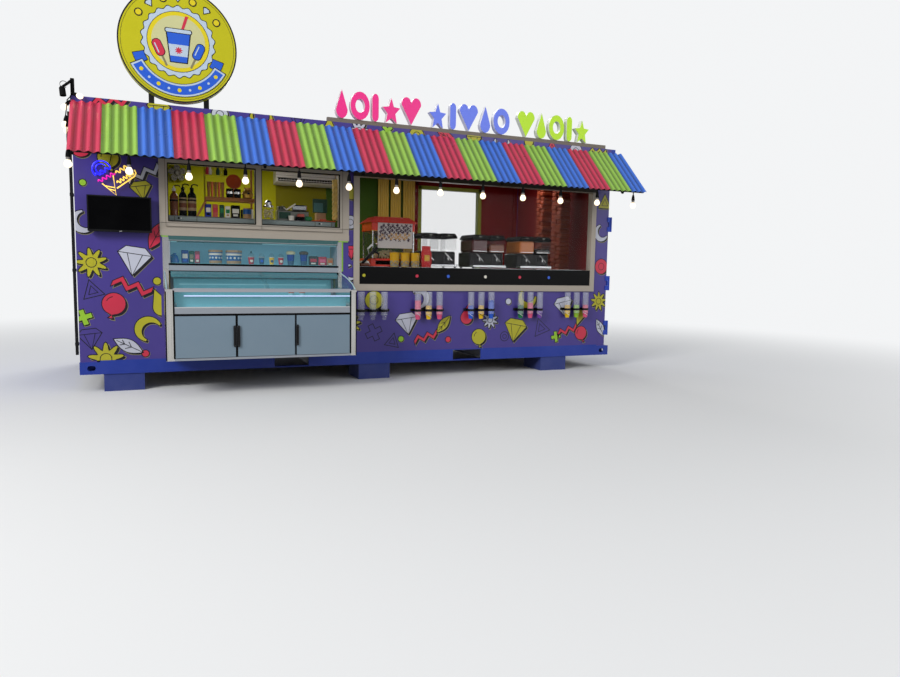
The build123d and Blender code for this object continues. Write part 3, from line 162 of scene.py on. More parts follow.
shell_rgb, purple_rgb, red_rgb, edge_blue_rgb = (34, 68, 172), (70, 58, 138), (118, 14, 16), (30, 66, 180)
white_rgb, return_rgb = (152, 158, 166), (214, 212, 210)
painted = dict(vary=0.12, bump=0.15, bump_scale=30)
shape_back = dict(rough=0.3, vary=0.04, glow=0.1, sides=((1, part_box("shapes_blue")[0].y + 0.002, return_rgb),))
# Awning sheets: ridged finish with painted shade in the ridges' troughs
ridged = dict(rough=0.32, vary=0.08, bump=0.08, coat=0.3, trough_shade=0.75)
slot_looks = {
    "rail_blue": dict(painted, rgb=(20, 54, 156), rough=0.38, vary=0.14, dust=0.12),
    "block_blue": dict(rgb=(16, 48, 132), rough=0.55, vary=0.2, dust=0.25, bump=0.3, bump_scale=25),
    "shell_blue": dict(painted, rgb=shell_rgb, rough=0.42, dust=0.15, stretch=(1, 1, 0.35)),
    "door_blue": dict(painted, rgb=shell_rgb, rough=0.4, dust=0.1),
    "galvanised": dict(rgb=(150, 152, 155), rough=0.5, metal=0.6, vary=0.18, scale=14, dust=0.3, bump=0.2),
    "wrap_purple": dict(rgb=purple_rgb, rough=0.36, vary=0.05, dust=0.05, coat=0.1),
    "lining": dict(rgb=(168, 168, 12), rough=0.7, scale=1.6, shine=0.08,
                   sides=((0, -0.79, (118, 114, 12)), (0, -0.1, (58, 88, 22)), (0, 1.15, red_rgb))),
    "deck": dict(rgb=(138, 112, 86), rough=0.6, vary=0.22, scale=6, stretch=(0.6, 9, 1), bump=0.3),
    "pane": dict(rgb=(8, 10, 10), rough=0.03, vary=0.02, alpha=0.07, shine=0.4),
    "strip_black": dict(rgb=(7, 7, 8), rough=0.4, shine=0.08),
    "polished": dict(rgb=(196, 194, 190), rough=0.16, metal=1.0, vary=0.08, stretch=(6, 6, 0.5)),
    "freezer_white": dict(rgb=white_rgb, rough=0.35, vary=0.04, dust=0.12),
    "door_grey": dict(rgb=(122, 142, 157), rough=0.38, vary=0.05, dust=0.16, bump=0.04),
    "freezer_glass": dict(rgb=(92, 146, 156), rough=0.04, vary=0.03, alpha=0.13, coat=0.6),
    "steel": dict(rgb=(176, 178, 180), rough=0.28, metal=1.0, stretch=(0.5, 12, 12)),
    "sheet_red": dict(ridged, rgb=(212, 62, 92)),
    "sheet_green": dict(ridged, rgb=(156, 202, 84)),
    "sheet_blue": dict(ridged, rgb=(70, 122, 224)),
    "disc_yellow": dict(rgb=(196, 190, 24), rough=0.35, vary=0.05),
    "shape_pink": dict(shape_back, rgb=(244, 52, 140)),
    "shape_blue": dict(shape_back, rgb=(104, 126, 236)),
    "shape_lime": dict(shape_back, rgb=(186, 232, 24)),
    "screen_black": dict(rgb=(6, 6, 7), rough=0.4, shine=0.2),
    "appliance_white": dict(rgb=(222, 221, 214), vary=0.05, dust=0.1),
    "popcorn_red": dict(rgb=(214, 52, 34), rough=0.3, vary=0.06, coat=0.3),
}
# Nodes with a look of their own, most of them changing from one side to the other
inside_red = dict(painted, rgb=red_rgb, rough=0.42, dust=0.1, sides=((0, 2.9235, shell_rgb),))
node_looks = {
    "cargo_door_front": inside_red,
    "cargo_door_back": inside_red,
    "corner_posts": dict(painted, rgb=edge_blue_rgb, rough=0.38, vary=0.14, dust=0.12),
    "entry_frame": dict(rgb=(112, 122, 24), rough=0.4, vary=0.12, sides=((1, lining_high.y + 0.074, edge_blue_rgb),)),
    # Display window frame: its head above z 2.2115 is painted dark, as painted shade under the awning
    "display_window_frame": dict(rgb=(172, 162, 149), rough=0.42, vary=0.06, bump=0.05,
                                 sides=((2, 2.2115, (40, 34, 22)),)),
    "case_body": dict(rgb=white_rgb, rough=0.3, vary=0.05, sides=((2, case_high.z - 0.052, (62, 100, 100)),)),
    "top_rails": dict(rgb=purple_rgb, rough=0.38, vary=0.08, dust=0.05, sides=((1, shell_low.y + 0.03, shell_rgb),)),
    "sign_supports": dict(rgb=(15, 15, 17), rough=0.5, sides=((0, -0.70, (120, 110, 100)),)),
    "freezer_rails": dict(rgb=(164, 166, 172), rough=0.35, vary=0.05, sides=((1, -1.3, (84, 136, 146)),)),
}
slots = {name: finish(name, **look) for name, look in slot_looks.items()}
slots.update(frame_cream=cream, black_metal=black, juicer_black=black, cup_tube=clear, juice_bowl=clear)
own_finishes = {name: finish(name, **look) for name, look in node_looks.items()}
# The awning's frame is painted near black, as painted shade under the sheets
own_finishes["awning_frame"] = dull_black
for part in frame["record"]["subparts"]:
    for place in frame["nodes"][part["node"]].material_slots:
        place.material = own_finishes.get(part["node"], slots[part["material_slot"]])


# Making of pieces
def polar(radius, degrees):
    return radius * math.cos(math.radians(degrees)), radius * math.sin(math.radians(degrees))


def circle(radius, start=0, end=360, count=28, middle=(0, 0)):
    """Points along an arc, anticlockwise."""
    arms = [polar(radius, start + (end - start) * k / count) for k in range(count + (end - start < 360))]
    return [(middle[0] + u, middle[1] + v) for u, v in arms]


class Piece:
    """Geometry of one piece, gathered form by form, each form with its material, about an origin."""

    def __init__(self, name, slot=None, body="root"):
        self.name, self.body, self.slot = name, body, slot
        self.points, self.faces, self.which, self.materials = [], [], [], []
        self.origin = (0, 0, 0)

    def at(self, x=0, y=0, z=0):
        """The point that the next forms are given from."""
        self.origin = (x, y, z)
        return self

    def placed(self, point):
        return tuple(o + p for o, p in zip(self.origin, point))

    def add(self, points, faces, material):
        start = len(self.points)
        self.points += [tuple(p) for p in points]
        self.faces += [tuple(start + i for i in face) for face in faces]
        if material not in self.materials:
            self.materials.append(material)
        self.which += [self.materials.index(material)] * len(faces)

    def box(self, x0, x1, y0, y1, z0, z1, material, chamfer=0.0):
        """A box from its sides on each axis, with its edges cut by the chamfer."""
        ends = [sorted((o + a, o + b)) for o, a, b in zip(self.origin, (x0, y0, z0), (x1, y1, z1))]
        cut = min(chamfer, *[(high - low) / 2.01 for low, high in ends])
        middle = [(low + high) / 2 for low, high in ends]
        half = [(high - low) / 2 for low, high in ends]
        signs = [[1 if k >> a & 1 else -1 for a in range(3)] for k in range(8)]
        if not cut:
            corners = [[m + h * s for m, h, s in zip(middle, half, sign)] for sign in signs]
            self.add(corners, [(0, 4, 6, 2), (1, 3, 7, 5), (0, 1, 5, 4), (2, 6, 7, 3), (0, 2, 3, 1), (4, 5, 7, 6)],
                     material)
            return
        points, faces = [], []
        for sign in signs:
            for a in range(3):
                points.append([middle[b] + sign[b] * (half[b] - (0 if a == b else cut)) for b in range(3)])
        for a in range(3):
            b, c = (a + 1) % 3, (a + 2) % 3
            for s in (0, 1):
                ring = [s << a | p << b | q << c for p, q in ((0, 0), (1, 0), (1, 1), (0, 1))]
                faces.append([3 * k + a for k in (ring if s else ring[::-1])])
            for p in (0, 1):
                for q in (0, 1):
                    k0 = p << b | q << c
                    k1 = k0 | 1 << a
                    quad = [3 * k0 + b, 3 * k1 + b, 3 * k1 + c, 3 * k0 + c]
                    faces.append(quad if p == q else quad[::-1])
        for k in range(8):
            corner = [3 * k, 3 * k + 1, 3 * k + 2]
            faces.append(corner if bin(k).count("1") % 2 else corner[::-1])
        self.add(points, faces, material)

    def turn(self, profile, base, material, axis=(0, 0, 1), sides=20):
        """A turned form: (radius, height) pairs along an axis from its base point."""
        spin = Vector(axis).to_track_quat("Z", "Y").to_matrix()
        base = Vector(self.placed(base))
        points, rings, faces = [], [], []
        for radius, height in profile:
            count = 1 if radius < 1e-6 else sides
            rings.append((len(points), count))
            for k in range(count):
                points.append(base + spin @ Vector((*polar(radius, 360 * k / sides), height)))
        for (a, m), (b, n) in zip(rings, rings[1:]):
            for k in range(sides):
                j = (k + 1) % sides
                if m == 1 and n > 1:
                    faces.append((a, b + j, b + k))
                elif n == 1 and m > 1:
                    faces.append((a + k, a + j, b))
                elif m > 1:
                    faces.append((a + k, a + j, b + j, b + k))
        self.add(points, faces, material)

    def rod(self, start, end, radius, material, sides=14):
        """A closed round bar between two points."""
        way = Vector(self.placed(end)) - Vector(self.placed(start))
        self.turn([(0, 0), (radius, 0), (radius, way.length), (0, way.length)], start, material, way, sides)

    def tube(self, path, radius, material, sides=8, closed=False):
        """A tube along a path of points."""
        path = [Vector(self.placed(p)) for p in path]
        count = len(path)
        points, faces = [], []
        up = Vector((0.013, 0.017, 1)).normalized()
        for k, p in enumerate(path):
            before = path[k - 1] if k or closed else p
            after = path[(k + 1) % count] if k < count - 1 or closed else p
            way = (after - before).normalized()
            side = way.cross(up)
            if side.length < 0.05:
                side = way.cross(Vector((0, 1, 0)))
            side.normalize()
            other = side.cross(way)
            for j in range(sides):
                u, v = polar(1, 360 * j / sides)
                points.append(p + radius * (side * u + other * v))
        for k in range(count if closed else count - 1):
            a, b = k * sides, (k + 1) % count * sides
            for j in range(sides):
                i = (j + 1) % sides
                faces.append((a + j, b + j, b + i, a + i))
        if not closed:
            faces += [tuple(range(sides)), tuple((count - 1) * sides + j for j in reversed(range(sides)))]
        self.add(points, faces, material)

    def prism(self, front, back, material):
        """A solid between two like outlines, the front one anticlockwise as seen from outside."""
        count = len(front)
        faces = [tuple(range(count)), tuple(range(2 * count - 1, count - 1, -1))]
        faces += [((k + 1) % count, k, count + k, count + (k + 1) % count) for k in range(count)]
        self.add([self.placed(p) for p in front + back], faces, material)

    def plate(self, outline, y, depth, material):
        """An upright plate: an outline of (x, z) points, anticlockwise seen from the front, from y back."""
        self.prism([(x, y, z) for x, z in outline], [(x, y + depth, z) for x, z in outline], material)

    def build(self, replaced=(), sharp=35):
        """The Blender object, riding on its body."""
        mesh = bpy.data.meshes.new(self.name)
        mesh.from_pydata(self.points, [], self.faces)
        for material in self.materials:
            mesh.materials.append(material)
        mesh.polygons.foreach_set("material_index", self.which)
        mesh.polygons.foreach_set("use_smooth", [True] * len(self.faces))
        mesh.set_sharp_from_angle(angle=math.radians(sharp))
        mesh.update()
        made = bpy.data.objects.new(self.name, mesh)
        bpy.context.scene.collection.objects.link(made)
        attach(made, self.body)
        if replaced:
            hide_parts(*replaced)


# Printed wrap: flat motifs from a table, each with a dark shadow and outline, clipped at the panel edges
wrap_yellow = finish("wrap_yellow", (182, 176, 44), rough=0.35, vary=0.06, dust=0.1)
wrap_white = finish("wrap_white", (196, 198, 212), rough=0.35, vary=0.05, dust=0.1)
wrap_red = finish("wrap_red", (206, 50, 76), rough=0.35, vary=0.06, dust=0.1)
wrap_green = finish("wrap_green", (150, 196, 54), rough=0.35, vary=0.06)
wrap_ink = finish("wrap_ink", (22, 20, 30), rough=0.4)
wrap_olive = finish("wrap_olive", (134, 128, 96), rough=0.4)
motif_colours = {"y": wrap_yellow, "w": wrap_white, "r": wrap_red, "g": wrap_green}


def spokes(count, outer, inner):
    """A closed outline that swings between two radii."""
    points = []
    for k in range(count * 8):
        swing = 0.5 + 0.5 * math.cos(2 * math.pi * k / 8)
        points.append(polar(inner + (outer - inner) * swing, 360 * k / (count * 8) + 90))
    return points


def mirrored(right):
    """An outline closed by the mirror image of its right side."""
    return right + [(-x, z) for x, z in reversed(right[1:-1])]


zigzag_top = [(-1 + k / 2.5, 0.32 if k % 2 else -0.08) for k in range(6)]
motif_outlines = {
    "ring": circle(0.8), "gem": [(-0.9, 0.35), (0, -0.9), (0.9, 0.35), (0.5, 0.75), (-0.5, 0.75)],
    "moon": circle(0.9, 60, 300, 24) + [(x - 0.02, z) for x, z in reversed(circle(0.62, 78, 282, 20, (0.3, 0)))],
    "leaf": mirrored([(0.42 * math.sin(math.pi * k / 12), -1 + k / 6) for k in range(13)]),
    "balloon": circle(0.62, -75, 255, 24, (0, 0.3)) + [(0.0, -0.36), (-0.14, -0.55), (0.14, -0.55), (0.05, -0.36)],
    "zigzag": [(x, z - 0.3) for x, z in zigzag_top] + [(x, z + 0.02) for x, z in reversed(zigzag_top)],
    "drop": circle(0.55, 155, 385, 20, (0, -0.35)) + [(0, 0.95)], "dot": circle(0.7, count=20),
    "burst": spokes(9, 0.95, 0.5), "tri": [(-0.85, -0.6), (0.85, -0.6), (0, 0.9)],
    "plus": [(c * x - s * z, s * x + c * z) for c, s in ((1, 0), (0, 1), (-1, 0), (0, -1))
             for x, z in ((-0.28, -0.85), (0.28, -0.85), (0.28, -0.28))],
}
motif_marks = {
    "ring": [circle(0.36)], "gem": [[(-0.9, 0.35), (0.9, 0.35)], [(-0.4, 0.35), (0, -0.9), (0.4, 0.35)]],
    "leaf": [[(0, -0.85), (0, 0.8)], [(0, -0.2), (0.24, 0.1)], [(0, -0.2), (-0.24, 0.1)], [(0, 0.25), (0.18, 0.5)],
             [(0, 0.25), (-0.18, 0.5)]],
    "balloon": [circle(0.4, 110, 170, 6, (0, 0.3))], "burst": [circle(0.3)],
    "tri": [[(-0.38, -0.32), (0.38, -0.32), (0, 0.38), (-0.38, -0.32)]],
}

# Each motif: its kind, x, z, size, turn in degrees, colour (p keeps the panel's purple inside its outline)
motifs = """
    balloon -2.72 2.18 0.15 12 y; zigzag -2.43 2.1 0.16 24 w; ring -2.96 2.3 0.11 0 r; gem -2.45 1.94 0.11 10 y;
    dot -2.95 1.98 0.045 0 g; moon -2.96 1.62 0.12 30 w; leaf -2.32 1.52 0.16 -28 r; burst -2.9 1.24 0.15 8 y;
    gem -2.53 1.27 0.17 -8 w; dot -2.33 1.07 0.055 0 y; zigzag -2.55 1.02 0.18 -20 r; tri -2.9 0.98 0.11 15 p;
    drop -2.31 0.86 0.15 20 y; balloon -2.73 0.8 0.17 -14 r; plus -2.98 0.72 0.09 18 g; moon -2.42 0.6 0.14 -40 y;
    gem -2.93 0.52 0.12 6 p; leaf -2.6 0.44 0.15 62 w; burst -2.8 0.32 0.17 0 y; dot -2.45 0.36 0.05 0 r;
    ring -2.33 2.34 0.1 0 w; drop -0.38 2.05 0.1 0 y; ring -0.39 1.72 0.09 0 w; gem -0.38 1.4 0.09 0 r;
    moon -0.4 1.18 0.1 20 w; burst -0.39 0.62 0.13 0 y; leaf -0.41 0.4 0.12 10 g; ring -0.12 0.88 0.13 0 y;
    tri 0.1 0.42 0.1 -12 p; gem 0.27 0.62 0.15 8 w; plus -0.12 0.52 0.11 25 p; dot 0.2 0.44 0.05 0 g;
    moon 0.42 0.9 0.13 200 w; zigzag 0.5 0.46 0.15 14 r; leaf 0.72 0.6 0.13 140 y; dot 0.78 0.42 0.05 0 r;
    drop 1.02 0.72 0.14 -12 r; balloon 1.18 0.4 0.15 8 y; burst 1.32 0.64 0.11 12 w; ring 1.52 0.44 0.07 0 p;
    gem 1.66 0.52 0.17 -10 y; dot 1.56 0.86 0.055 0 w; moon 1.82 0.9 0.14 70 y; tri 2.02 0.54 0.13 20 p;
    plus 2.24 0.42 0.08 10 g; zigzag 2.4 0.5 0.15 16 r; gem 2.34 0.8 0.15 12 w; drop 2.58 0.66 0.12 160 y;
    balloon 2.62 0.42 0.14 20 r; burst 2.86 0.86 0.13 0 y; leaf 2.9 0.52 0.13 30 w; ring 2.88 1.3 0.12 0 r;
    moon 2.86 1.72 0.12 40 w; tri 2.9 2.1 0.12 0 y; zigzag -2.7 2.74 0.16 8 r; gem -2.28 2.7 0.12 0 y;
    ring -1.72 2.72 0.1 0 w; moon -1.32 2.71 0.13 90 y; tri -0.95 2.72 0.1 180 p; drop -0.62 2.72 0.1 0 y;
    burst -0.3 2.69 0.12 0 w; plus 0.02 2.72 0.08 45 g; ring 0.36 2.7 0.11 0 y; leaf 0.72 2.72 0.12 70 r;
    gem 1.06 2.71 0.11 0 y; moon 1.42 2.7 0.12 90 w; drop 1.78 2.72 0.11 180 y; tri 2.1 2.71 0.11 0 r;
    ring 2.44 2.7 0.11 0 w; zigzag 2.76 2.72 0.13 0 y
"""
# The wrap's edge on the corner posts and the head, over the rails
post_span, head_span, right_post = (-3.022, wall_low.x), (-3.028, 2.968), (2.851, 2.968)
film, print_lift = 0.0006, 0.0005
# Columns: low x, high x, low z, high z, face y
wrap_panels = (
    (*post_span, rail_top, wall_high.z, post_face_y - film),
    (wall_low.x, window_low.x, rail_top, wall_high.z, front_y),
    (window_high.x, display_low.x, rail_top, wall_high.z, front_y),
    (display_low.x, display_high.x, rail_top, display_low.z, front_y),
    (display_high.x, right_post[0], rail_top, wall_high.z, front_y),
    (*right_post, rail_top, wall_high.z, post_face_y - film),
    (*head_span, wall_high.z, shell_high.z, front_y - film),
)


def turned(points, x, z, size, angle):
    c, s = math.cos(math.radians(angle)) * size, math.sin(math.radians(angle)) * size
    return [(x + c * u - s * v, z + s * u + c * v) for u, v in points]


def clipped(points, low, high, axis):
    """A polygon cut to a span on one axis."""
    for limit, side in ((low, 1), (high, -1)):
        kept = []
        for k, here in enumerate(points):
            there = points[k - 1]
            inside, was_inside = side * (here[axis] - limit) >= 0, side * (there[axis] - limit) >= 0
            if inside != was_inside:
                share = (limit - there[axis]) / (here[axis] - there[axis])
                kept.append(tuple(t + share * (h - t) for t, h in zip(there, here)))
            if inside:
                kept.append(here)
        points = kept
    return points


def strokes(points, width, closed=True):
    """Quads along a line, mitred enough to join."""
    count = len(points)
    sides = []
    for k in range(count):
        here = Vector(points[k])
        one = here - Vector(points[k - 1 if k or closed else 0])
        two = Vector(points[(k + 1) % count if k < count - 1 or closed else k]) - here
        one = one.normalized() if one.length > 1e-9 else two.normalized()
        two = two.normalized() if two.length > 1e-9 else one
        across = Vector((-one.y, one.x))
        normal = Vector((-(one.y + two.y), one.x + two.x))
        normal = normal.normalized() if normal.length > 1e-6 else across
        reach = width / 2 / max(0.5, normal.dot(across))
        sides.append((tuple(here + normal * reach), tuple(here - normal * reach)))
    return [[*sides[k], *reversed(sides[(k + 1) % count])] for k in range(count if closed else count - 1)]


def face_on(piece, points, y, material):
    """A flat face on an upright plane."""
    piece.add([(u, y, v) for u, v in points], [range(len(points))], material)


def print_motifs(piece, pen=0.008):
    """Every motif on every panel that it reaches: halo, shadow, fill, outline and marks, one over the other."""
    for row in motifs.split(";"):
        kind, x, z, size, angle, colour = row.split()
        x, z, size, angle = float(x), float(z), float(size), float(angle)
        outline = turned(motif_outlines[kind], x, z, size, angle)
        shade = [(u + 0.11 * size, v - 0.11 * size) for u, v in outline]
        layers = []
        if colour != "p":
            layers = [([shade], wrap_ink), (strokes(shade, pen * 0.7), wrap_olive), ([outline], motif_colours[colour])]
        layers.append((strokes(outline, pen), wrap_ink))
        for mark in motif_marks.get(kind, []):
            layers.append((strokes(turned(mark, x, z, size, angle), pen * 0.8, closed=len(mark) > 12), wrap_ink))
        reach = 1.3 * size
        for x0, x1, z0, z1, y in wrap_panels:
            if x + reach < x0 or x - reach > x1 or z + reach < z0 or z - reach > z1:
                continue
            for level, (shapes, material) in enumerate(layers):
                for shape in shapes:
                    cut = clipped(clipped(shape, x0, x1, 0), z0, z1, 1)
                    if len(cut) > 2:
                        face_on(piece, cut, y - print_lift * (level + 1), material)


wrap = Piece("wrap_film", "wrap_purple")
for x0, x1, z0, z1, y in ((-3.0228, wall_low.x, 0.29, wall_high.z, post_face_y),
                          (2.851, 2.9688, 0.29, wall_high.z, post_face_y),
                          (-3.0285, 2.9688, wall_high.z, shell_high.z, front_y)):
    wrap.box(x0, x1, y - film, y + 0.0002, z0, z1, slots["wrap_purple"])
wrap.build()
wrap = Piece("wrap_motifs", "wrap_purple")
print_motifs(wrap)
wrap.build(sharp=180)


# Round sign: a dark rim, a scalloped badge, a ring of gems and a blank ribbon
disc_low, disc_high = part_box("disc_sign")
disc_x, disc_z = (disc_low.x + disc_high.x) / 2, (disc_low.z + disc_high.z) / 2
disc_r = (disc_high.x - disc_low.x) / 2
ribbon_blue = finish("ribbon_blue", (44, 96, 210), rough=0.3, vary=0.05)
plaque_yellow = finish("plaque_yellow", (226, 206, 36), rough=0.3, vary=0.05)
pale_blue = finish("pale_blue", (190, 206, 222), rough=0.35, vary=0.04)
badge_cream = finish("badge_cream", (206, 204, 150), rough=0.3)
layer_lift = 0.0006


def rounded(width, height, radius):
    """Outline of a plate with round corners about the origin."""
    points = []
    for sx, sz, start in ((1, -1, -90), (1, 1, 0), (-1, 1, 90), (-1, -1, 180)):
        middle = (sx * (width / 2 - radius), sz * (height / 2 - radius))
        points += circle(radius, start, start + 90, 5, middle)
    return points


def disc_face():
    """A cup between two ices in a scalloped badge, a ring of gems above and a blank curved ribbon below."""
    face = Piece("disc_face", "disc_yellow")

    def layer(shape, level, material, angle=0.0, shift=(0, 0)):
        points = turned([(u + shift[0], v + shift[1]) for u, v in shape], disc_x, disc_z, disc_r, angle)
        face_on(face, points, disc_low.y - layer_lift * level, material)

    def band(outer, inner, start, end, level, material, count=30):
        """A strip bent round the disc's middle, in short quads."""
        for k in range(count):
            a, b = (start + (end - start) * (k + j) / count for j in (0, 1))
            layer([polar(inner, b), polar(outer, b), polar(outer, a), polar(inner, a)], level, material)

    for radius, width in ((0.988, 0.024), (0.945, 0.006)):
        for quad in strokes(turned(circle(radius, count=72), disc_x, disc_z, disc_r, 0), width * disc_r):
            face_on(face, quad, disc_low.y - layer_lift, wrap_ink)
    badge = (0, 0.05)
    for level, shape, material in (
            (1, spokes(22, 0.635, 0.595), wrap_ink), (2, spokes(22, 0.62, 0.58), pale_blue),
            (3, circle(0.525, count=48), wrap_ink), (4, circle(0.515, count=48), plaque_yellow),
            (5, circle(0.45, count=48), badge_cream)):
        layer(shape, level, material, shift=badge)
    # Cup with a lid and a straw
    cup_shape = [(-0.19, 0.20), (-0.135, -0.30), (0.135, -0.30), (0.19, 0.20)]
    layer([(u * 1.12, (v + 0.05) * 1.07 - 0.05) for u, v in cup_shape], 6, wrap_ink)
    layer([(0.03, 0.22), (0.075, 0.22), (0.17, 0.50), (0.12, 0.51)], 7, wrap_red)
    layer(cup_shape, 7, ribbon_blue)
    layer([(-0.168, 0.0), (-0.146, -0.20), (0.146, -0.20), (0.168, 0.0)], 8, pale_blue)
    layer(rounded(0.46, 0.085, 0.035), 8, wrap_ink, shift=(0, 0.235))
    layer(rounded(0.43, 0.06, 0.028), 9, pale_blue, shift=(0, 0.235))
    layer(turned(motif_outlines["burst"], 0, -0.10, 0.07, 0), 9, wrap_red)
    # An ice on a stick at each side
    for sx, colour in ((-1, wrap_red), (1, ribbon_blue)):
        for level, size, material, u, v in ((6, (0.035, 0.20, 0.015), wrap_olive, 0, -0.17),
                                            (7, (0.165, 0.31, 0.078), wrap_ink, 0, 0.06),
                                            (8, (0.14, 0.285, 0.068), colour, 0, 0.06),
                                            (9, (0.02, 0.18, 0.01), pale_blue, 0.03, 0.06)):
            layer(rounded(*size), level, material, -24 * sx, (0.34 * sx - u, v))
    # Curved ribbon with folded ends, left blank but for its dots
    for start, end in ((196, 212), (328, 344)):
        band(0.80, 0.60, start, end, 6, wrap_ink)
        band(0.79, 0.61, start + 1, end - 1, 7, ribbon_blue)
    band(0.905, 0.675, 207, 333, 8, wrap_ink)
    band(0.895, 0.685, 208, 332, 9, pale_blue)
    band(0.865, 0.715, 210, 330, 10, ribbon_blue)
    for k in range(9):
        dot = circle(0.022 if k % 2 else 0.034, count=12, middle=polar(0.79, 218 + 13 * k))
        layer(dot, 11, pale_blue if k % 2 else plaque_yellow)
    # Gems and rings along the upper rim
    for k in range(7):
        u, v = polar(0.80, 36 + 18 * k)
        for size, level, colour in ((0.085, 5, wrap_ink), (0.062, 6, pale_blue if k % 2 else plaque_yellow)):
            face_on(face, turned(motif_outlines["gem" if k % 2 else "ring"], u * disc_r + disc_x, v * disc_r + disc_z,
                                 size * disc_r, 18 * k - 54), disc_low.y - layer_lift * level, colour)
    face.build(sharp=180)


disc_face()


# Awning trim and the string of lamps under its edge
awning_edge_y, awning_edge_z = front_y - 0.523, 2.184
lamp_y, lamp_z = -1.579, 2.034
cable_z = awning_edge_z + 0.004
# Columns: x of each lamp, how far it hangs below the others
lamps = ((-3.02, -0.045), (-2.543, -0.016), (-2.045, 0), (-1.544, 0.004), (-1.038, 0), (-0.542, 0.002),
         (-0.041, 0.006), (0.449, 0), (0.948, 0.006), (1.443, 0), (1.931, 0.006), (2.43, 0), (2.945, 0.006))
bulb_neck = finish("bulb_neck", (128, 122, 116), rough=0.3)


def lamp_string():
    gear = Piece("lamp_sockets", "black_metal")
    glass = Piece("lamp_globes")
    gear.tube([(awning_low.x + 0.03, lamp_y, cable_z), (awning_high.x - 0.03, lamp_y, cable_z)], 0.006, black)
    globe = [(0, -0.032)] + [polar(0.032, -60 + 20 * k) for k in range(6)] + [(0.019, 0.034)]
    for x, hang in lamps:
        place = (x, lamp_y, lamp_z - hang)
        gear.rod((x, lamp_y, place[2] + 0.1), (x, lamp_y, cable_z + 0.004), 0.006, dull_black, 8)
        gear.turn([(0, 0.058), (0.0185, 0.058), (0.0195, 0.066), (0.016, 0.1), (0.009, 0.128), (0, 0.13)], place,
                  dull_black)
        gear.turn([(0.0185, 0.033), (0.0165, 0.046), (0.0165, 0.060)], place, bulb_neck)
        glass.turn(globe, place, warm_glow)
    gear.build()
    glass.build(sharp=60)


def awning_trim():
    """Capped screws on every second ridge, over the two tubes."""
    trim = Piece("awning_trim", "frame_cream")
    first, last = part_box("awning_red")[0].x - 0.0345, awning_high.x + 0.078
    sheet = (last - first) / sheet_count
    top = Vector((0, front_y, 2.703))
    slope = Vector((0, awning_edge_y - front_y, awning_edge_z - top.z)).normalized()
    out = Vector((0, slope.z, -slope.y))
    caps = [slots["sheet_" + colour] for colour in ("red", "green", "blue")]
    for k in range(sheet_count):
        for x in (first + (k + ridge) * sheet for ridge in (0.1875, 0.6875)):
            for along in (0.05, 0.69):
                if awning_low.x + 0.02 < x < awning_high.x - 0.02:
                    trim.turn([(0.008, 0), (0.008, 0.002), (0.004, 0.005), (0, 0.006)],
                              Vector((x, top.y, top.z)) + slope * along + out * 0.0232, caps[k % 3], out, 8)
    trim.build()


lamp_string()
awning_trim()


# Left end of the front: blank screen, neon cone, spot lamp and conduit
neon_blue = finish("neon_blue", (34, 34, 255), rough=0.3, vary=0.02, glow=1.4)
neon_pink = finish("neon_pink", (225, 16, 165), rough=0.3, vary=0.02, glow=0.9)
neon_yellow = finish("neon_yellow", (255, 214, 96), rough=0.3, vary=0.02, glow=1.0)
screen_panel = finish("screen_panel", (2, 2, 3), rough=0.35, vary=0.3, shine=0.02)


def screen_trim():
    low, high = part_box("screen")
    trim = Piece("screen_trim", "screen_black")
    y, edge = low.y - 0.0015, 0.012
    trim.box(low.x + edge, high.x - edge, y, y + 0.001, low.z + edge * 1.6, high.z - edge, screen_panel)
    trim.box(low.x + 0.27, low.x + 0.29, y - 0.0005, y + 0.001, low.z + 0.006, low.z + 0.009, white)
    trim.build()


def wave(start, end, size, count):
    """Points that swing from side to side along a line."""
    (x, z), wide, high = start, end[0] - start[0], end[1] - start[1]
    length = math.hypot(wide, high)
    points = []
    for k in range(count * 8 + 1):
        t, swing = k / (count * 8), size * math.sin(2 * math.pi * k / 8) / length
        points.append((x + t * wide - swing * high, z + t * high + swing * wide))
    return points


def neon_cone():
    """Neon ice: blue scoop, pink drips, yellow cone, and yellow waves beside it."""
    neon = Piece("neon_cone").at(0, front_y - 0.028, 0)
    # Columns: line, tube radius, material
    lines = (
        (circle(0.078, 20, 230, 22, (-2.787, 2.108)), 0.0065, neon_blue),
        (wave((-2.838, 2.048), (-2.714, 2.134), 0.016, 3), 0.006, neon_blue),
        (circle(0.046, 40, 300, 16, (-2.79, 2.112)), 0.0045, neon_blue),
        (wave((-2.816, 1.992), (-2.676, 2.082), 0.015, 4), 0.0055, neon_pink),
        ([(-2.785, 1.978), (-2.669, 1.877), (-2.690, 2.058)], 0.006, neon_yellow),
        ([(-2.757, 1.957), (-2.678, 1.945)], 0.0045, neon_yellow),
        ([(-2.728, 1.930), (-2.672, 1.918)], 0.0045, neon_yellow),
        ([(-2.660, 1.940), (-2.505, 2.062), (-2.492, 2.092), (-2.505, 2.122)], 0.006, neon_yellow),
        (wave((-2.655, 1.992), (-2.520, 2.096), 0.017, 5), 0.0055, neon_yellow),
        (wave((-2.664, 2.082), (-2.560, 2.160), 0.018, 3), 0.0055, neon_yellow),
    )
    for line, radius, material in lines:
        neon.tube([(x, 0, z) for x, z in line], radius, material)
    for x, z in ((-2.865, 2.105), (-2.72, 2.15), (-2.669, 1.88), (-2.50, 2.07)):
        neon.rod((x, 0.028, z), (x, 0, z), 0.006, chrome, 10)
    neon.tube([(-2.72, 0.012, 2.15), (-2.70, 0.02, 2.25), (-2.71, 0.02, 2.42)], 0.004, dull_black)
    neon.build()


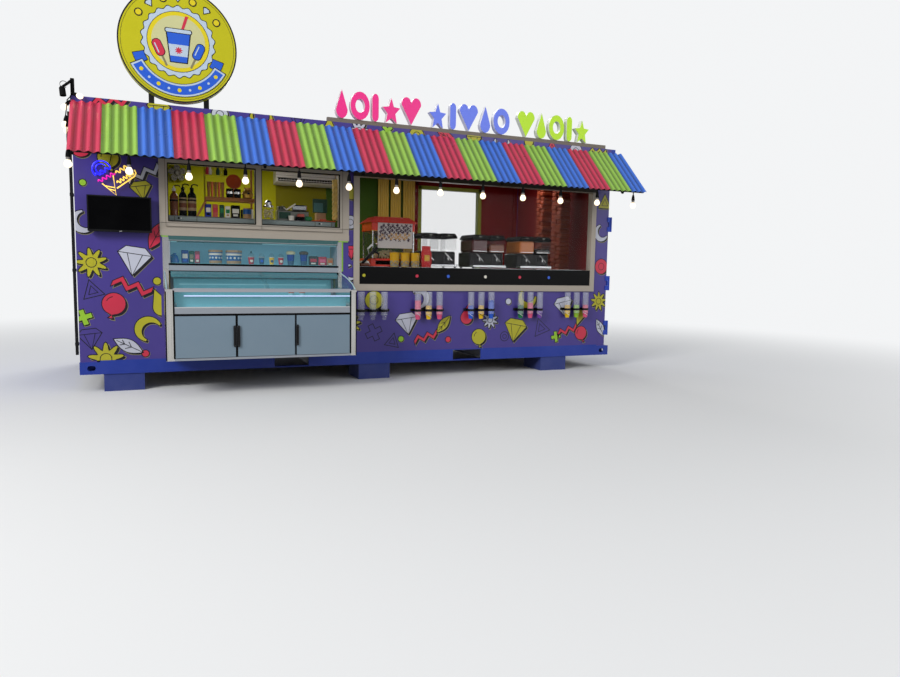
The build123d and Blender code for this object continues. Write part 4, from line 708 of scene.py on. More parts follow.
def corner_lamp():
    """Spot lamp on the front left casting, bulbs beside it and down the awning's edge, conduit on the end wall."""
    lamp = Piece("corner_lamp_dress", "black_metal")
    low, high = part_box("corner_lamp")
    x, y, foot = high.x - 0.016, high.y - 0.016, shell_high.z
    lamp.box(x - 0.016, x + 0.016, y - 0.016, y + 0.016, foot, high.z, dull_black, 0.003)
    lamp.box(x - 0.014, x + 0.05, y - 0.012, y + 0.05, foot, foot + 0.008, dull_black, 0.001)
    head = Vector((low.x + 0.028, low.y + 0.03, high.z - 0.108))
    lamp.tube([(x, y, high.z - 0.012), (x - 0.03, y - 0.03, high.z - 0.05), head + Vector((0.008, 0.004, 0.012))],
              0.0125, dull_black)
    lamp.at(*head)
    lamp.tube([(0.013 + u, 0, 0.03 + v) for u, v in circle(0.03, 0, 312, 13)], 0.003, rubber, 6)
    way = Vector((0.10, -0.16, -0.95)).normalized()
    lamp.turn([(0, -0.012), (0.016, -0.010), (0.0255, 0.004), (0.0275, 0.074), (0.0245, 0.074), (0.020, 0.045),
               (0, 0.045)], (0, 0, 0), dull_black, way)
    lamp.turn([(0, 0.046), (0.019, 0.046)], (0, 0, 0), bulb_neck, way)
    lamp.at(0, front_y, 0)
    # Columns: middle of the bulb, the way that its socket points
    for place, way in (((-2.945, -0.036, 2.752), (-0.75, 0.5, 0.35)), ((-3.075, -0.04, 2.640), (0.55, 0.25, 0.8)),
                       ((-3.063, -0.171, 2.462), (0.15, 0.1, 1)), ((-3.043, -0.221, 2.405), (0.1, 0.2, 1))):
        lamp.turn([(0, -0.028), (0.016, -0.023), (0.026, -0.006), (0.024, 0.012), (0.014, 0.030), (0, 0.030)], place,
                  warm_glow, way, 16)
        lamp.turn([(0, 0.028), (0.016, 0.028), (0.017, 0.05), (0.010, 0.085), (0, 0.085)], place, dull_black, way, 12)
    lamp.tube([(x, y - 0.01 - front_y, foot + 0.012), (-3.05, -0.03, 2.71), (-3.055, -0.10, 2.60),
               (-3.056, -0.165, 2.54), (-3.04, -0.25, 2.46), (-3.034, -0.36, 2.33), (-3.02, lamp_y - front_y, cable_z)],
              0.0045, dull_black)
    for z in (0.45, 1.15, 1.85, 2.35):
        lamp.box(-3.062, -3.029, 0.02, 0.07, z, z + 0.03, black, 0.002)
    lamp.box(-3.060, -3.034, 0.03, 0.06, 0.36, 2.62, black, 0.003)
    lamp.build(replaced=("corner_lamp",))


screen_trim()
neon_cone()
corner_lamp()


# Freezer
frost = finish("frost", (206, 230, 236), rough=0.6, vary=0.06, bump=0.3)
# Teal of the freezer's inside, with a painted glow standing in for the light inside the case
teal_painted_glow = finish("teal_painted_glow", (126, 194, 208), rough=0.35, vary=0.05, glow=0.1)
# Back of the show case: blue with a painted glow for the light inside the case
case_blue_painted_glow = finish("case_blue_painted_glow", (140, 198, 222), rough=0.4, vary=0.12, scale=2.5, glow=0.16)
glass_edge = finish("glass_edge", (176, 208, 212), rough=0.15, vary=0.05)
ice_orange = finish("ice_orange", (190, 96, 50), rough=0.4)


def freezer_trim():
    """Joints, seals, lamps, glass edges and louvre of the chest and of the show case over it."""
    trim = Piece("freezer_trim", "freezer_white").at(0, ends_low.y, 0)
    x0, x1, case_y = tub_low.x, tub_high.x, case_low.y - ends_low.y
    # Dark joints and bright strips along the end columns
    for x, outer, side in ((x0, ends_low.x, -1), (x1, ends_high.x, 1)):
        trim.box(x - side * 0.009, x + side * 0.006, -0.0015, 0.004, 0.37, 1.0, dull_black)
        trim.box(outer + side * 0.0012, outer - side * 0.009, -0.001, 0.006, 0.352, 0.99, dull_black)
        trim.box(outer - side * 0.02, x + side * 0.02, -0.001, 0.003, 0.355, 0.985, slots["polished"], 0.001)
        trim.box(outer - side * 0.01, x + side * 0.012, case_y - 0.0008, case_y + 0.002, 1.19, 1.50, chrome, 0.001)
    # Columns: from the left end, from the right end, y, z, material
    for left, right, y, z, material in (
            (0, 0, (-0.0012, 0.003), (0.764, 0.771), dull_black),
            (0.09, 0.01, (-0.004, 0.002), (0.946, 0.954), cool_glow),
            (0.004, 0.004, (-0.0015, 0.003), (0.838, 0.846), chrome)):
        trim.box(x0 + left, x1 - right, *y, *z, material)
    # Pale edges of the curved cheeks, and the opening's lime edge beside the case
    for x in (ends_low.x + 0.014, ends_high.x - 0.014):
        trim.tube([(x, 0.012, 1.018), (x, 0.11, 1.066), (x, 0.26, 1.108), (x, 0.42, 1.142),
                   (x, case_y - 0.004, 1.168)], 0.006, glass_edge)
    wall_y = front_y - ends_low.y
    trim.box(ends_high.x + 0.002, ends_high.x + 0.016, wall_y - 0.004, wall_y - 0.0005, 1.19, 1.514, lime_glow)
    trim.box(x0, x1, -0.0014, 0.003, 0.7665, 0.784, dull_black)
    # Dark ground behind the gaps of the doors
    for name in ("freezer_door_middle", "freezer_door_right"):
        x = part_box(name)[0].x
        trim.box(x - 0.0047, x - 0.0003, 0.0005, 0.006, 0.378, 0.762, dull_black)
    # Louvre under the doors
    for x in (x0 + 0.05 + k * 0.062 for k in range(26)):
        trim.box(x, x + 0.045, 0.0375, 0.043, 0.355, 0.368, edge_black)
    # Black seals under the show case's glass and band, lime light under the sill, chrome line and lamp under the head
    trim.at(0, case_low.y, 0)
    low, high = case_low.z, case_high.z
    trim.box(case_low.x, case_high.x, -0.0022, 0.002, low + 0.058, low + 0.077, dull_black)
    trim.box(case_low.x, case_high.x, -0.003, 0.002, low - 0.022, low + 0.006, dull_black)
    sill_y, sill_z = window_low.y - case_low.y, window_low.z
    trim.box(window_low.x + 0.01, window_high.x - 0.01, sill_y + 0.004, sill_y + 0.012, sill_z - 0.012, sill_z - 0.002,
             lime_glow)
    trim.box(case_low.x + 0.002, case_high.x - 0.002, -0.0012, 0.001, high - 0.046, high - 0.040, chrome)
    trim.box(case_low.x + 0.08, case_low.x + 0.9, 0.02, 0.026, high - 0.060, high - 0.054, dull_black)
    trim.build()


def door_trim():
    """Black grip, edge line and seal of each freezer door."""
    for side in ("left", "middle", "right"):
        name = "freezer_door_" + side
        low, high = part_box(name)
        trim = Piece(name + "_trim", "door_grey", "freezer_leaf_" + side)
        face, left_grip = ends_low.y, side != "left"
        x = low.x + 0.001 if left_grip else high.x - 0.028
        z0, z1 = ((low.z + high.z) / 2 + half for half in (-0.102, 0.102))
        grip = [(x, z0 + 0.012), (x + 0.006, z0), (x + 0.021, z0), (x + 0.027, z0 + 0.012), (x + 0.027, z1 - 0.012),
                (x + 0.021, z1), (x + 0.006, z1), (x, z1 - 0.012)]
        trim.plate(grip, low.y - 0.0001, face - low.y + 0.0006, edge_black)
        trim.box(x + 0.009, x + 0.018, low.y - 0.0003, low.y, z0 + 0.02, z1 - 0.02, dull_black)
        edge = (low.x, low.x + 0.008) if left_grip else (high.x - 0.008, high.x)
        trim.box(*edge, face - 0.0004, face + 0.002, low.z, high.z, dull_black)
        y, xs, zs = high.y - 0.0005, (low.x + 0.012, high.x - 0.012), (low.z + 0.01, high.z - 0.01)
        seal = [(xs[0], y, zs[0]), (xs[1], y, zs[0]), (xs[1], y, zs[1]), (xs[0], y, zs[1])]
        for a, b in zip(seal, seal[1:] + seal[:1]):
            trim.rod(a, b, 0.0018, rubber, 6)
        trim.build()


def freezer_goods():
    """Frosted bin, its lit back, and two bottles whose orange caps show over the rim."""
    x0, x1, depth = tub_low.x + 0.03, tub_high.x - 0.03, tub_high.y - 0.075 - (tub_low.y + 0.06)
    goods = Piece("freezer_goods").at(0, tub_low.y + 0.06, tub_low.z + 0.078)
    goods.box(x0, x1, 0, depth, 0, 0.012, frost, 0.003)
    goods.box(x0, x1, depth - 0.006, depth, 0, 0.26, teal_painted_glow)
    goods.box(x0, x1, 0.02, 0.026, 0.012, 0.118, teal_painted_glow)
    goods.box(x0 + 0.05, x1 - 0.05, depth - 0.02, depth - 0.008, 0.20, 0.21, soft_glow)
    goods.at(0, -1.45, tub_low.z + 0.078 + 0.012)
    for x in (-1.096, -0.987):
        goods.turn([(0, 0), (0.035, 0), (0.036, 0.10), (0.028, 0.125), (0, 0.125)], (x, 0, 0), teal_painted_glow)
        goods.turn([(0.028, 0.12), (0.031, 0.135), (0.027, 0.155), (0.012, 0.165), (0, 0.165)], (x, 0, 0), ice_orange)
    goods.build()


freezer_trim()
door_trim()
freezer_goods()


# Goods. Each maker adds one thing that stands at a point
paper = finish("paper", (232, 228, 214), rough=0.7, vary=0.05)
amber = finish("amber", (120, 62, 22), rough=0.2, coat=0.5)
copper = finish("copper", (176, 92, 52), rough=0.3, metal=0.8, vary=0.2)
gold = finish("gold", (196, 150, 60), rough=0.4, metal=0.5, vary=0.3, scale=30)
# Gold of the rope ornament, with a faint painted glow
rope_gold_painted_glow = finish("rope_gold_painted_glow", (236, 196, 112), rough=0.55, vary=0.4, scale=26, bump=0.4, bump_scale=60, glow=0.05)
deep_blue = finish("deep_blue", (28, 50, 150), rough=0.35)
pink = finish("pink", (232, 92, 132), rough=0.35)
yellow = finish("yellow", (240, 196, 30), rough=0.4)
orange = finish("orange", (222, 110, 30), rough=0.35)
green = finish("green", (30, 120, 70), rough=0.4)
brown = finish("brown", (92, 56, 34), rough=0.5, vary=0.2)
snack = finish("snack", (238, 224, 176), rough=0.8, vary=0.25, scale=60, bump=0.6, bump_scale=120)
dark_green = finish("dark_green", (16, 66, 48), rough=0.4, vary=0.2)
dark_rose = finish("dark_rose", (150, 52, 72), rough=0.4, vary=0.3, scale=60)
dark_brown = finish("dark_brown", (48, 26, 22), rough=0.4, vary=0.3, scale=40)
salmon = finish("salmon", (196, 92, 76), vary=0.2, scale=30)
sundae_red = finish("sundae_red", (190, 40, 62), rough=0.35)
cup_slate = finish("cup_slate", (60, 86, 120), rough=0.35)
tub_blue = finish("tub_blue", (32, 92, 160), rough=0.35, vary=0.15, scale=40)
tub_tan = finish("tub_tan", (176, 140, 100), rough=0.5, vary=0.2, scale=40)
gel_blue = finish("gel_blue", (24, 96, 190), rough=0.12, vary=0.15, coat=0.6)
amber_label = finish("amber_label", (112, 62, 36), rough=0.5, vary=0.35, scale=50)
tan_label = finish("tan_label", (158, 132, 100), rough=0.5, vary=0.35, scale=50)
orange_tray = finish("orange_tray", (196, 74, 12), vary=0.2)
lime_paint = finish("lime_paint", (150, 150, 20), rough=0.5)
board_teal = finish("board_teal", (66, 116, 112), rough=0.35)
unit_steel = finish("unit_steel", (118, 120, 112), rough=0.35, metal=0.4, vary=0.12, stretch=(0.5, 8, 8))
unit_front = finish("unit_front", (138, 150, 148), rough=0.35, metal=0.2, vary=0.08, stretch=(0.5, 8, 8))
seam_cream = finish("seam_cream", (104, 97, 88), rough=0.5)


def scaled(profile, radius, height):
    return [(u * radius, v * height) for u, v in profile]


def bottle(piece, x, radius, height, colour, label):
    """A pump bottle with a printed label."""
    base = (x, 0, 0)
    for profile, material in (
            ([(0, 0), (1, 0), (1, 0.62), (0.86, 0.68), (0.42, 0.76), (0.38, 0.82), (0, 0.82)], colour),
            ([(1.012, 0.17), (1.012, 0.57)], label), ([(1.02, 0.26), (1.02, 0.40)], amber_label),
            ([(1.02, 0.47), (1.02, 0.52)], dull_black)):
        piece.turn(scaled(profile, radius, height), base, material)
    neck = [(radius * 0.46, height * 0.81), (radius * 0.46, height * 0.89), (0.007, height * 0.9),
            (0.006, height * 0.98), (0, height * 0.98)]
    piece.turn(neck, base, white if colour is amber else dull_black)
    piece.tube([(x, 0, height * 0.96), (x + 0.02, 0, height), (x + 0.052, 0, height * 0.985),
                (x + 0.058, 0, height * 0.95)], 0.006, dull_black)


def cup(piece, base, radius, height, colour):
    """A paper cup with a white rim under a clear dome."""
    for profile, material in (([(0, 0), (0.72, 0), (1, 1), (0, 1)], colour),
                              ([(1, 0.98), (1.08, 1), (1.04, 1.04), (0, 1.04)], white),
                              ([(1.02, 1.04), (0.98, 1.28), (0.62, 1.52), (0, 1.6)], clear)):
        piece.turn(scaled(profile, radius, height), base, material)


def packets(piece, *rows):
    """Boxes or bags, each with a printed label and a mark on its front.
    Columns: low x, high x, height, colour, label, mark"""
    for x0, x1, height, colour, label, mark in rows:
        width = x1 - x0
        piece.box(x0, x1, -0.02, 0.02, 0, height, colour, 0.005)
        piece.box(x0 + width * 0.14, x1 - width * 0.14, -0.0212, 0, height * 0.38, height * 0.72, label, 0.001)
        piece.box(x0 + width * 0.22, x1 - width * 0.26, -0.0216, 0, height * 0.14, height * 0.30, mark, 0.001)


def dots_round(piece, x, y, z, radius, angles, profile, colours, sides, lean=0.0):
    """Small printed dots round an upright form, in two colours by turns, each row given by its height."""
    for k, angle in enumerate(angles):
        u, v = polar(radius, angle)
        piece.turn(profile, (x + u, y + v, z[k % len(z)]), colours[k % 2], (*polar(1, angle), lean), sides)


def case_goods():
    """Show case from left to right: jug, cartons, printed tubs, sundae cups, tall cups and packets."""
    goods = Piece("case_goods")
    z, y, back = case_low.z + 0.0775, case_low.y + 0.15, case_high.y - 0.03
    x0, x1 = case_low.x + 0.02, case_high.x - 0.02
    goods.box(x0, x1, back - 0.004, back, z, case_high.z - 0.05, case_blue_painted_glow)
    goods.box(x0, x1, case_low.y + 0.03, back, z, z + 0.003, teal_painted_glow)
    goods.box(x0, x1, case_low.y + 0.03, case_low.y + 0.045, case_high.z - 0.060, case_high.z - 0.052, soft_glow)
    goods.at(0, y, z)
    # Blue jug with a handle
    goods.turn([(0, 0), (0.040, 0), (0.042, 0.03), (0.030, 0.07), (0.016, 0.085), (0.016, 0.1), (0, 0.1)],
               (-2.16, 0, 0), gel_blue)
    goods.tube([(-2.175, 0, 0.085), (-2.20, 0, 0.07), (-2.20, 0, 0.03)], 0.007, gel_blue)
    packets(goods, (-2.098, -2.030, 0.132, deep_blue, paper, ribbon_blue),
            (-2.026, -1.975, 0.126, dark_green, wrap_olive, paper), (-1.971, -1.922, 0.126, dark_rose, pink, paper))
    for x, r in ((-1.770, 0.070), (-1.590, 0.083)):
        for profile, material in (
                ([(0, 0), (r * 0.86, 0), (r * 0.90, 0.045), (r * 0.98, 0.118), (0, 0.118)], tub_blue),
                ([(r * 0.87, 0.004), (r * 0.90, 0.034)], tub_tan), ([(r * 0.965, 0.088), (r * 0.985, 0.108)], paper),
                ([(0, 0.118), (r, 0.118), (r * 1.01, 0.136), (r * 0.95, 0.142), (0, 0.142)], tub_tan)):
            goods.turn(profile, (x, 0, 0), material, sides=28)
        dots_round(goods, x, 0, (0.062,), r * 0.94, range(-150, -29, 30), [(0.012, 0), (0.009, 0.003), (0, 0.004)],
                   (paper, pale_blue), 8, 0.1)
    for x, colour, mark, r in ((-1.419, sundae_red, paper, 0.034), (-1.313, cup_slate, ribbon_blue, 0.030),
                               (-1.210, yellow, cup_slate, 0.027), (-1.114, sundae_red, paper, 0.030)):
        cup(goods, (x, -0.02, 0), r, 0.076, colour)
        goods.turn([(0.016, 0), (0.013, 0.003), (0, 0.004)], (x, -0.02 - r * 0.86, 0.038), mark, (0, -1, 0.15), 10)
    goods.turn([(0, 0), (0.009, 0.004), (0.006, 0.02), (0, 0.026)], (-1.419, -0.02, 0.115), dull_black)
    for x, top in ((-1.007, snack), (-0.868, brown)):
        for profile, material in (([(0, 0), (0.030, 0), (0.036, 0.055), (0.042, 0.118), (0, 0.118)], deep_blue),
                                  ([(0.0305, 0.004), (0.0355, 0.045)], cup_slate),
                                  ([(0.042, 0.112), (0.050, 0.122), (0.047, 0.140), (0.03, 0.150), (0, 0.152)], top)):
            goods.turn(profile, (x, 0, 0), material)
    packets(goods, (-0.813, -0.719, 0.100, dark_brown, sundae_red, paper),
            (-0.712, -0.622, 0.096, sundae_red, pink, paper), (-0.617, -0.548, 0.084, tub_tan, orange, paper))
    goods.build()


def window_trim():
    """Stepped sash lines on the serving window's frame, and black gaskets round the panes."""
    trim = Piece("window_trim", "frame_cream").at(0, window_low.y, 0)
    x0, x1, z0, z1 = window_low.x + 0.055, window_high.x - 0.07, 1.602, window_high.z - 0.035
    middle, half = -1.356, 0.031
    for z in (z0, z1 - 0.005):
        trim.box(x0, x1, -0.0012, 0.001, z, z + 0.005, seam_cream)
    for x in (x0, x1 - 0.004, middle + half - 0.004):
        trim.box(x, x + 0.004, -0.0014, 0.001, z0, z1, seam_cream)
    low, high, lap = 1.655, window_high.z - 0.08, 0.004
    for a, b in ((window_low.x + 0.08, middle - half), (middle + half, window_high.x - 0.104)):
        for z in (low, high):
            trim.box(a - 0.003, b + 0.003, -0.001, 0.03, z - lap, z + lap, rubber)
        for x in (a, b):
            trim.box(x - lap, x + lap, -0.001, 0.03, low, high, rubber)
    trim.build()


def window_goods():
    """Steel unit with drawers on the pass shelf, and what stands on it behind the serving window."""
    shelf_low, shelf_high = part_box("pass_shelf")
    goods = Piece("window_goods")
    x0, x1 = shelf_low.x + 0.01, shelf_high.x - 0.005
    front, depth, rise = shelf_low.y + 0.01, shelf_high.y - 0.02 - (shelf_low.y + 0.01), 0.055
    y, top = front + 0.06, shelf_high.z + rise
    goods.at(0, front, shelf_high.z)
    goods.box(x0, x1, 0.008, depth, 0, rise - 0.003, unit_steel, 0.002)
    goods.box(x0, x1, 0, depth, rise - 0.003, rise, bright_steel, 0.001)
    for a, b in ((x0 + 0.01, -2.160), (-2.150, -1.950), (-1.940, -1.36), (-1.35, -0.755), (-0.745, -0.575),
                 (-0.565, x1 - 0.005)):
        goods.box(a, b, 0.003, 0.009, 0.006, rise - 0.007, unit_front, 0.002)
    for x in (-2.115, -0.705):
        goods.rod((x, 0.003, 0.030), (x, -0.004, 0.030), 0.009, dull_black, 12)
        goods.rod((x + 0.022, 0.003, 0.030), (x + 0.022, -0.002, 0.030), 0.007, white, 12)
    goods.at(0, y, top)
    bottle(goods, -2.154, 0.040, 0.30, amber, amber_label)
    bottle(goods, -2.071, 0.038, 0.318, dull_black, tan_label)
    bottle(goods, -1.986, 0.042, 0.318, dull_black, tan_label)
    # Wooden shelf with its brace; copper tubes, black cups and a gold jug on it, an orange tray behind
    board, a, b = 1.885, -1.862, -1.372
    goods.at(0, y, 0)
    goods.box(a, b, -0.06, 0.10, board, board + 0.038, wood, 0.003)
    goods.tube([(a + 0.01, -0.03, board), (-1.94, -0.03, top + 0.004)], 0.011, wood)
    goods.box(a, a + 0.018, 0.07, 0.09, top, board, wood, 0.002)
    goods.box(b - 0.03, b - 0.012, 0.07, 0.09, top, 2.26, wood, 0.002)
    goods.box(a, a + 0.014, 0.07, 0.09, board + 0.03, 2.26, lime_paint, 0.002)
    shelf = board + 0.038
    for k in range(5):
        goods.turn([(0, 0), (0.012, 0), (0.0165, 0.148), (0.0165, 0.152), (0, 0.15)], (-1.825 + 0.034 * k, 0, shelf),
                   copper if k % 2 else wood)
    goods.turn([(0, 0), (0.072, 0), (0.077, 0.010), (0.068, 0.014), (0, 0.012)], (-1.574, 0.05, 2.093), orange_tray,
               (0, -1, 0.2), 32)
    goods.rod((-1.574, 0.05, shelf), (-1.574, 0.062, 2.04), 0.012, wood, 8)
    for x in (-1.622, -1.545):
        goods.turn([(0, 0), (0.031, 0), (0.037, 0.045), (0.033, 0.092), (0, 0.095)], (x, -0.015, shelf), dull_black)
        goods.turn([(0.0372, 0.04), (0.0372, 0.062)], (x, -0.015, shelf), chrome)
    goods.turn([(0, 0), (0.045, 0.004), (0.058, 0.045), (0.044, 0.075), (0.03, 0.09), (0.036, 0.112), (0, 0.112)],
               (-1.442, -0.01, shelf), gold)
    goods.turn([(0.013, 0), (0.010, 0.004), (0, 0.005)], (-1.442, -0.066, shelf + 0.05), dull_black, (0, -1, 0), 10)
    # Small glass shelf above with jars
    goods.box(a + 0.01, -1.63, -0.01, 0.09, 2.145, 2.151, clear, 0.002)
    for x, colour in ((-1.832, sundae_red), (-1.806, paper), (-1.77, clear), (-1.73, dark_green), (-1.69, clear),
                      (-1.655, dull_black)):
        goods.turn([(0, 0), (0.018, 0), (0.02, 0.045), (0.012, 0.06), (0.012, 0.072), (0, 0.072)], (x, 0.03, 2.151),
                   colour)
    goods.at(0, y, top)
    packets(goods, (-1.861, -1.802, 0.130, deep_blue, paper, dull_black),
            (-1.789, -1.738, 0.132, salmon, wrap_red, salmon), (-1.722, -1.677, 0.128, dark_green, green, dark_green),
            (-1.667, -1.617, 0.118, paper, green, tub_tan), (-1.609, -1.520, 0.130, dull_black, paper, paper),
            (-1.512, -1.492, 0.09, dull_black, black, black))
    goods.turn([(0, 0), (0.038, 0), (0.04, 0.108), (0, 0.11)], (-1.448, 0, 0), tub_tan, sides=24)
    goods.turn([(0.0405, 0.045), (0.0408, 0.095)], (-1.448, 0, 0), tub_blue, sides=24)
    goods.turn([(0, 0), (0.02, 0), (0.02, 0.1), (0, 0.102)], (-1.40, 0.03, 0), paper)
    # Right pane: a glass jar of popcorn
    jar = (-1.232, 0, 0)
    goods.turn([(0, 0), (0.058, 0), (0.068, 0.03), (0.068, 0.095), (0.05, 0.118), (0.05, 0.125)], jar, clear, sides=24)
    goods.turn([(0, 0.125), (0.055, 0.125), (0.052, 0.145), (0.03, 0.155), (0.036, 0.178), (0.014, 0.2), (0, 0.2)], jar,
               chrome, sides=16)
    for k in range(14):
        ball = (jar[0] + 0.034 * math.cos(k * 2.4), 0.034 * math.sin(k * 2.4), 0.008 + 0.006 * k)
        goods.turn([(0, 0), (0.016, 0.008), (0.016, 0.022), (0, 0.03)], ball, snack, sides=8)
    # Grey machine with vents and an open lid
    goods.box(-1.133, -0.800, 0.03, 0.17, 0, 0.108, unit_steel, 0.006)
    goods.box(-1.125, -1.05, 0.026, 0.12, 0.108, 0.150, unit_steel, 0.004)
    for x in (-1.118 + 0.018 * k for k in range(4)):
        goods.box(x, x + 0.010, 0.024, 0.027, 0.115, 0.145, dull_black)
    goods.box(-1.115, -0.995, 0.028, 0.031, 0.02, 0.09, dark_green, 0.002)
    goods.tube([(-1.08, 0.05, 0.15), (-1.044, 0, 0.112), (-0.948, 0, 0.175)], 0.008, paper)
    goods.box(-0.975, -0.812, 0.05, 0.15, 0.112, 0.172, bright_steel, 0.012)
    goods.box(-0.98, -0.80, 0.028, 0.032, 0.098, 0.106, dull_black)
    # Mug with a handle, cartons, orange mat, and a teal board on its box
    goods.turn([(0, 0), (0.028, 0), (0.031, 0.05), (0, 0.05)], (-0.993, 0, 0), paper)
    goods.tube([(-1.02, 0, 0.04), (-1.038, 0, 0.03), (-1.022, 0, 0.012)], 0.005, dull_black)
    for row in ((-0.945, -0.862, -0.02, 0.05, 0, 0.042, dull_black, 0.004),
                (-0.928, -0.855, -0.018, 0.05, 0.042, 0.074, salmon, 0.006),
                (-0.845, -0.774, -0.02, 0.03, 0.006, 0.05, green, 0.010),
                (-0.775, -0.52, -0.05, 0.08, 0, 0.012, orange_tray, 0.004),
                (-0.70, -0.625, -0.055, 0, 0.012, 0.028, salmon, 0.006),
                (-0.707, -0.604, 0.06, 0.16, 0.012, 0.10, tub_tan, 0.004),
                (-0.752, -0.592, 0.05, 0.062, 0.100, 0.248, dark_green, 0.004),
                (-0.742, -0.640, 0.047, 0.051, 0.108, 0.205, board_teal, 0.002)):
        goods.box(*row)
    goods.build()
    rope = Piece("rope_ornament").at(-0.512, y + 0.02, 0)
    for twist in range(3):
        turns = [0.42 * k + 2.094 * twist for k in range(44)]
        rope.tube([(0.019 * math.cos(t), 0.016 * math.sin(t), 1.752 + 0.0099 * k) for k, t in enumerate(turns)], 0.0165,
                  rope_gold_painted_glow, 8)
    rope.tube([(0, 0, 2.17), (0, 0, 2.62)], 0.004, wood)
    rope.build()


case_goods()
window_trim()
window_goods()


# Display window: popcorn machine, cups, twin juicers and what hangs behind them
golden_turn = 2.39996    # radians from one scattered thing to the next
machine_low, machine_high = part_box("popcorn_machine")
house_low, house_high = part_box("juicer_housings")
maroon = finish("maroon", (74, 18, 22), rough=0.25, coat=0.5)
tea = finish("tea", (120, 58, 30), rough=0.25, coat=0.5)
orange_juice = finish("orange_juice", (196, 108, 34), rough=0.3, vary=0.08, coat=0.5)
cola = finish("cola", (28, 18, 18), rough=0.25, coat=0.5)
bamboo = finish("bamboo", (206, 172, 72), rough=0.5, vary=0.2, scale=20, stretch=(1, 1, 0.1))
carved = finish("carved", (150, 62, 34), rough=0.6, vary=0.3, scale=12, bump=0.6, bump_scale=30)
cup_purple = finish("cup_purple", (120, 70, 170), rough=0.35)
tube_clear = finish("tube_clear", (222, 226, 236), rough=0.05, vary=0.02, alpha=0.13, coat=1.0)
tube_rim = finish("tube_rim", (200, 205, 220), rough=0.1, vary=0.05, alpha=0.5)
panel_grey = finish("panel_grey", (196, 188, 184), rough=0.5, vary=0.05)
print_ink = finish("print_ink", (70, 50, 66), rough=0.5, vary=0.2)
print_tan = finish("print_tan", (196, 152, 96), rough=0.5, vary=0.2)
cup_yellow = finish("cup_yellow", (206, 158, 22), rough=0.4, vary=0.06)
cup_grey = finish("cup_grey", (150, 146, 128), rough=0.5, vary=0.2, scale=60)
bag_red = finish("bag_red", (186, 34, 34), vary=0.2, bump=0.5, bump_scale=18)
fan_grey = finish("fan_grey", (128, 126, 118), rough=0.4)
red_plate = finish("red_plate", (118, 14, 16), rough=0.7, shine=0.08)
lime_edge = finish("lime_edge", (140, 150, 40), rough=0.5)


def popcorn_dress():
    """Roof on posts over a glazed bin, with a printed panel, a kettle and a heap of popcorn."""
    piece, red = Piece("popcorn_dress", "popcorn_red"), slots["popcorn_red"]
    piece.at(machine_low.x, machine_low.y, counter_z)
    wide, deep = machine_high.x - machine_low.x, machine_high.y - machine_low.y
    ridge, inset, plinth = machine_high.z - counter_z, 0.08, 0.09
    eave = ridge - 0.062
    # Hipped roof with a proud eave, a thin gold line and ribs
    piece.prism(*([(e, e, z), (wide - e, e, z), (wide - e, deep - e, z), (e, deep - e, z)]
                  for e, z in ((inset, ridge), (0, eave))), red)
    piece.box(0, wide, 0, deep, eave - 0.008, eave, red, 0.002)
    piece.box(0.024, wide - 0.024, 0.024, deep - 0.024, eave - 0.1, eave - 0.004, red, 0.004)
    piece.box(0.024, wide - 0.024, 0.0225, 0.025, eave - 0.1, eave - 0.095, gold)
    for share in (k / 8 for k in range(1, 8)):
        piece.rod((share * wide, 0.001, eave), (inset + share * (wide - 2 * inset), inset, ridge), 0.003, red, 6)
    # Base with a drawer, posts and panes
    piece.box(0, wide, 0, deep, 0, plinth, red, 0.006)
    piece.box(0.06, wide - 0.06, 0, 0.004, 0.02, 0.07, bright_steel, 0.002)
    for x in (0.03, wide - 0.046):
        for y in (0.03, deep - 0.046):
            piece.box(x, x + 0.016, y, y + 0.016, plinth, eave - 0.09, bright_steel, 0.002)
    for sides in ((0.04, wide - 0.04, 0.036, 0.039), (0.04, wide - 0.04, deep - 0.039, deep - 0.036),
                  (0.036, 0.039, 0.04, deep - 0.04), (wide - 0.039, wide - 0.036, 0.04, deep - 0.04)):
        piece.box(*sides, plinth, eave - 0.09, clear)
    # Kettle on its crossbar, and the printed panel in front of it
    piece.rod((0.05, deep / 2, eave - 0.12), (wide - 0.05, deep / 2, eave - 0.12), 0.008, chrome, 10)
    piece.turn([(0, 0), (0.08, 0), (0.095, 0.02), (0.095, 0.10), (0.085, 0.115), (0, 0.12)],
               (0.21, deep / 2, eave - 0.25), chrome, sides=28)
    left, right, low, high, face = 0.093, wide - 0.056, 0.28, 0.49, 0.016
    piece.box(left, right, face, face + 0.004, 0.208, high, panel_grey, 0.001)
    for k in range(88):
        u = left + 0.02 + (k * 0.75488 % 1) * (right - left - 0.04)
        v = low + 0.015 + (k * 0.56984 % 1) * (high - low - 0.03)
        blob = turned(spokes(3 + k % 3, 0.017 + 0.004 * (k % 2), 0.006), u, v, 1.0, k * 37)
        middle = abs(v - low - 0.062) < 0.03
        piece.plate(blob, face - 0.001 - 0.0004 * middle, 0.001, print_tan if middle and k % 4 else print_ink)
    # Popcorn on the bin's floor
    count = 150
    for k in range(count):
        r = (k / count) ** 0.5
        spot = (wide / 2 + 0.19 * r * math.cos(k * golden_turn), deep / 2 + 0.14 * r * math.sin(k * golden_turn),
                0.095 + 0.075 * (1 - r * r) + 0.008 * (k * 7 % 3))
        piece.turn([(0, -0.012), (0.013, -0.002), (0.011, 0.008), (0, 0.014)], spot, snack,
                   (math.sin(k), math.cos(k * 1.7), 0.7), 6)
    piece.build(replaced=("popcorn_machine",))


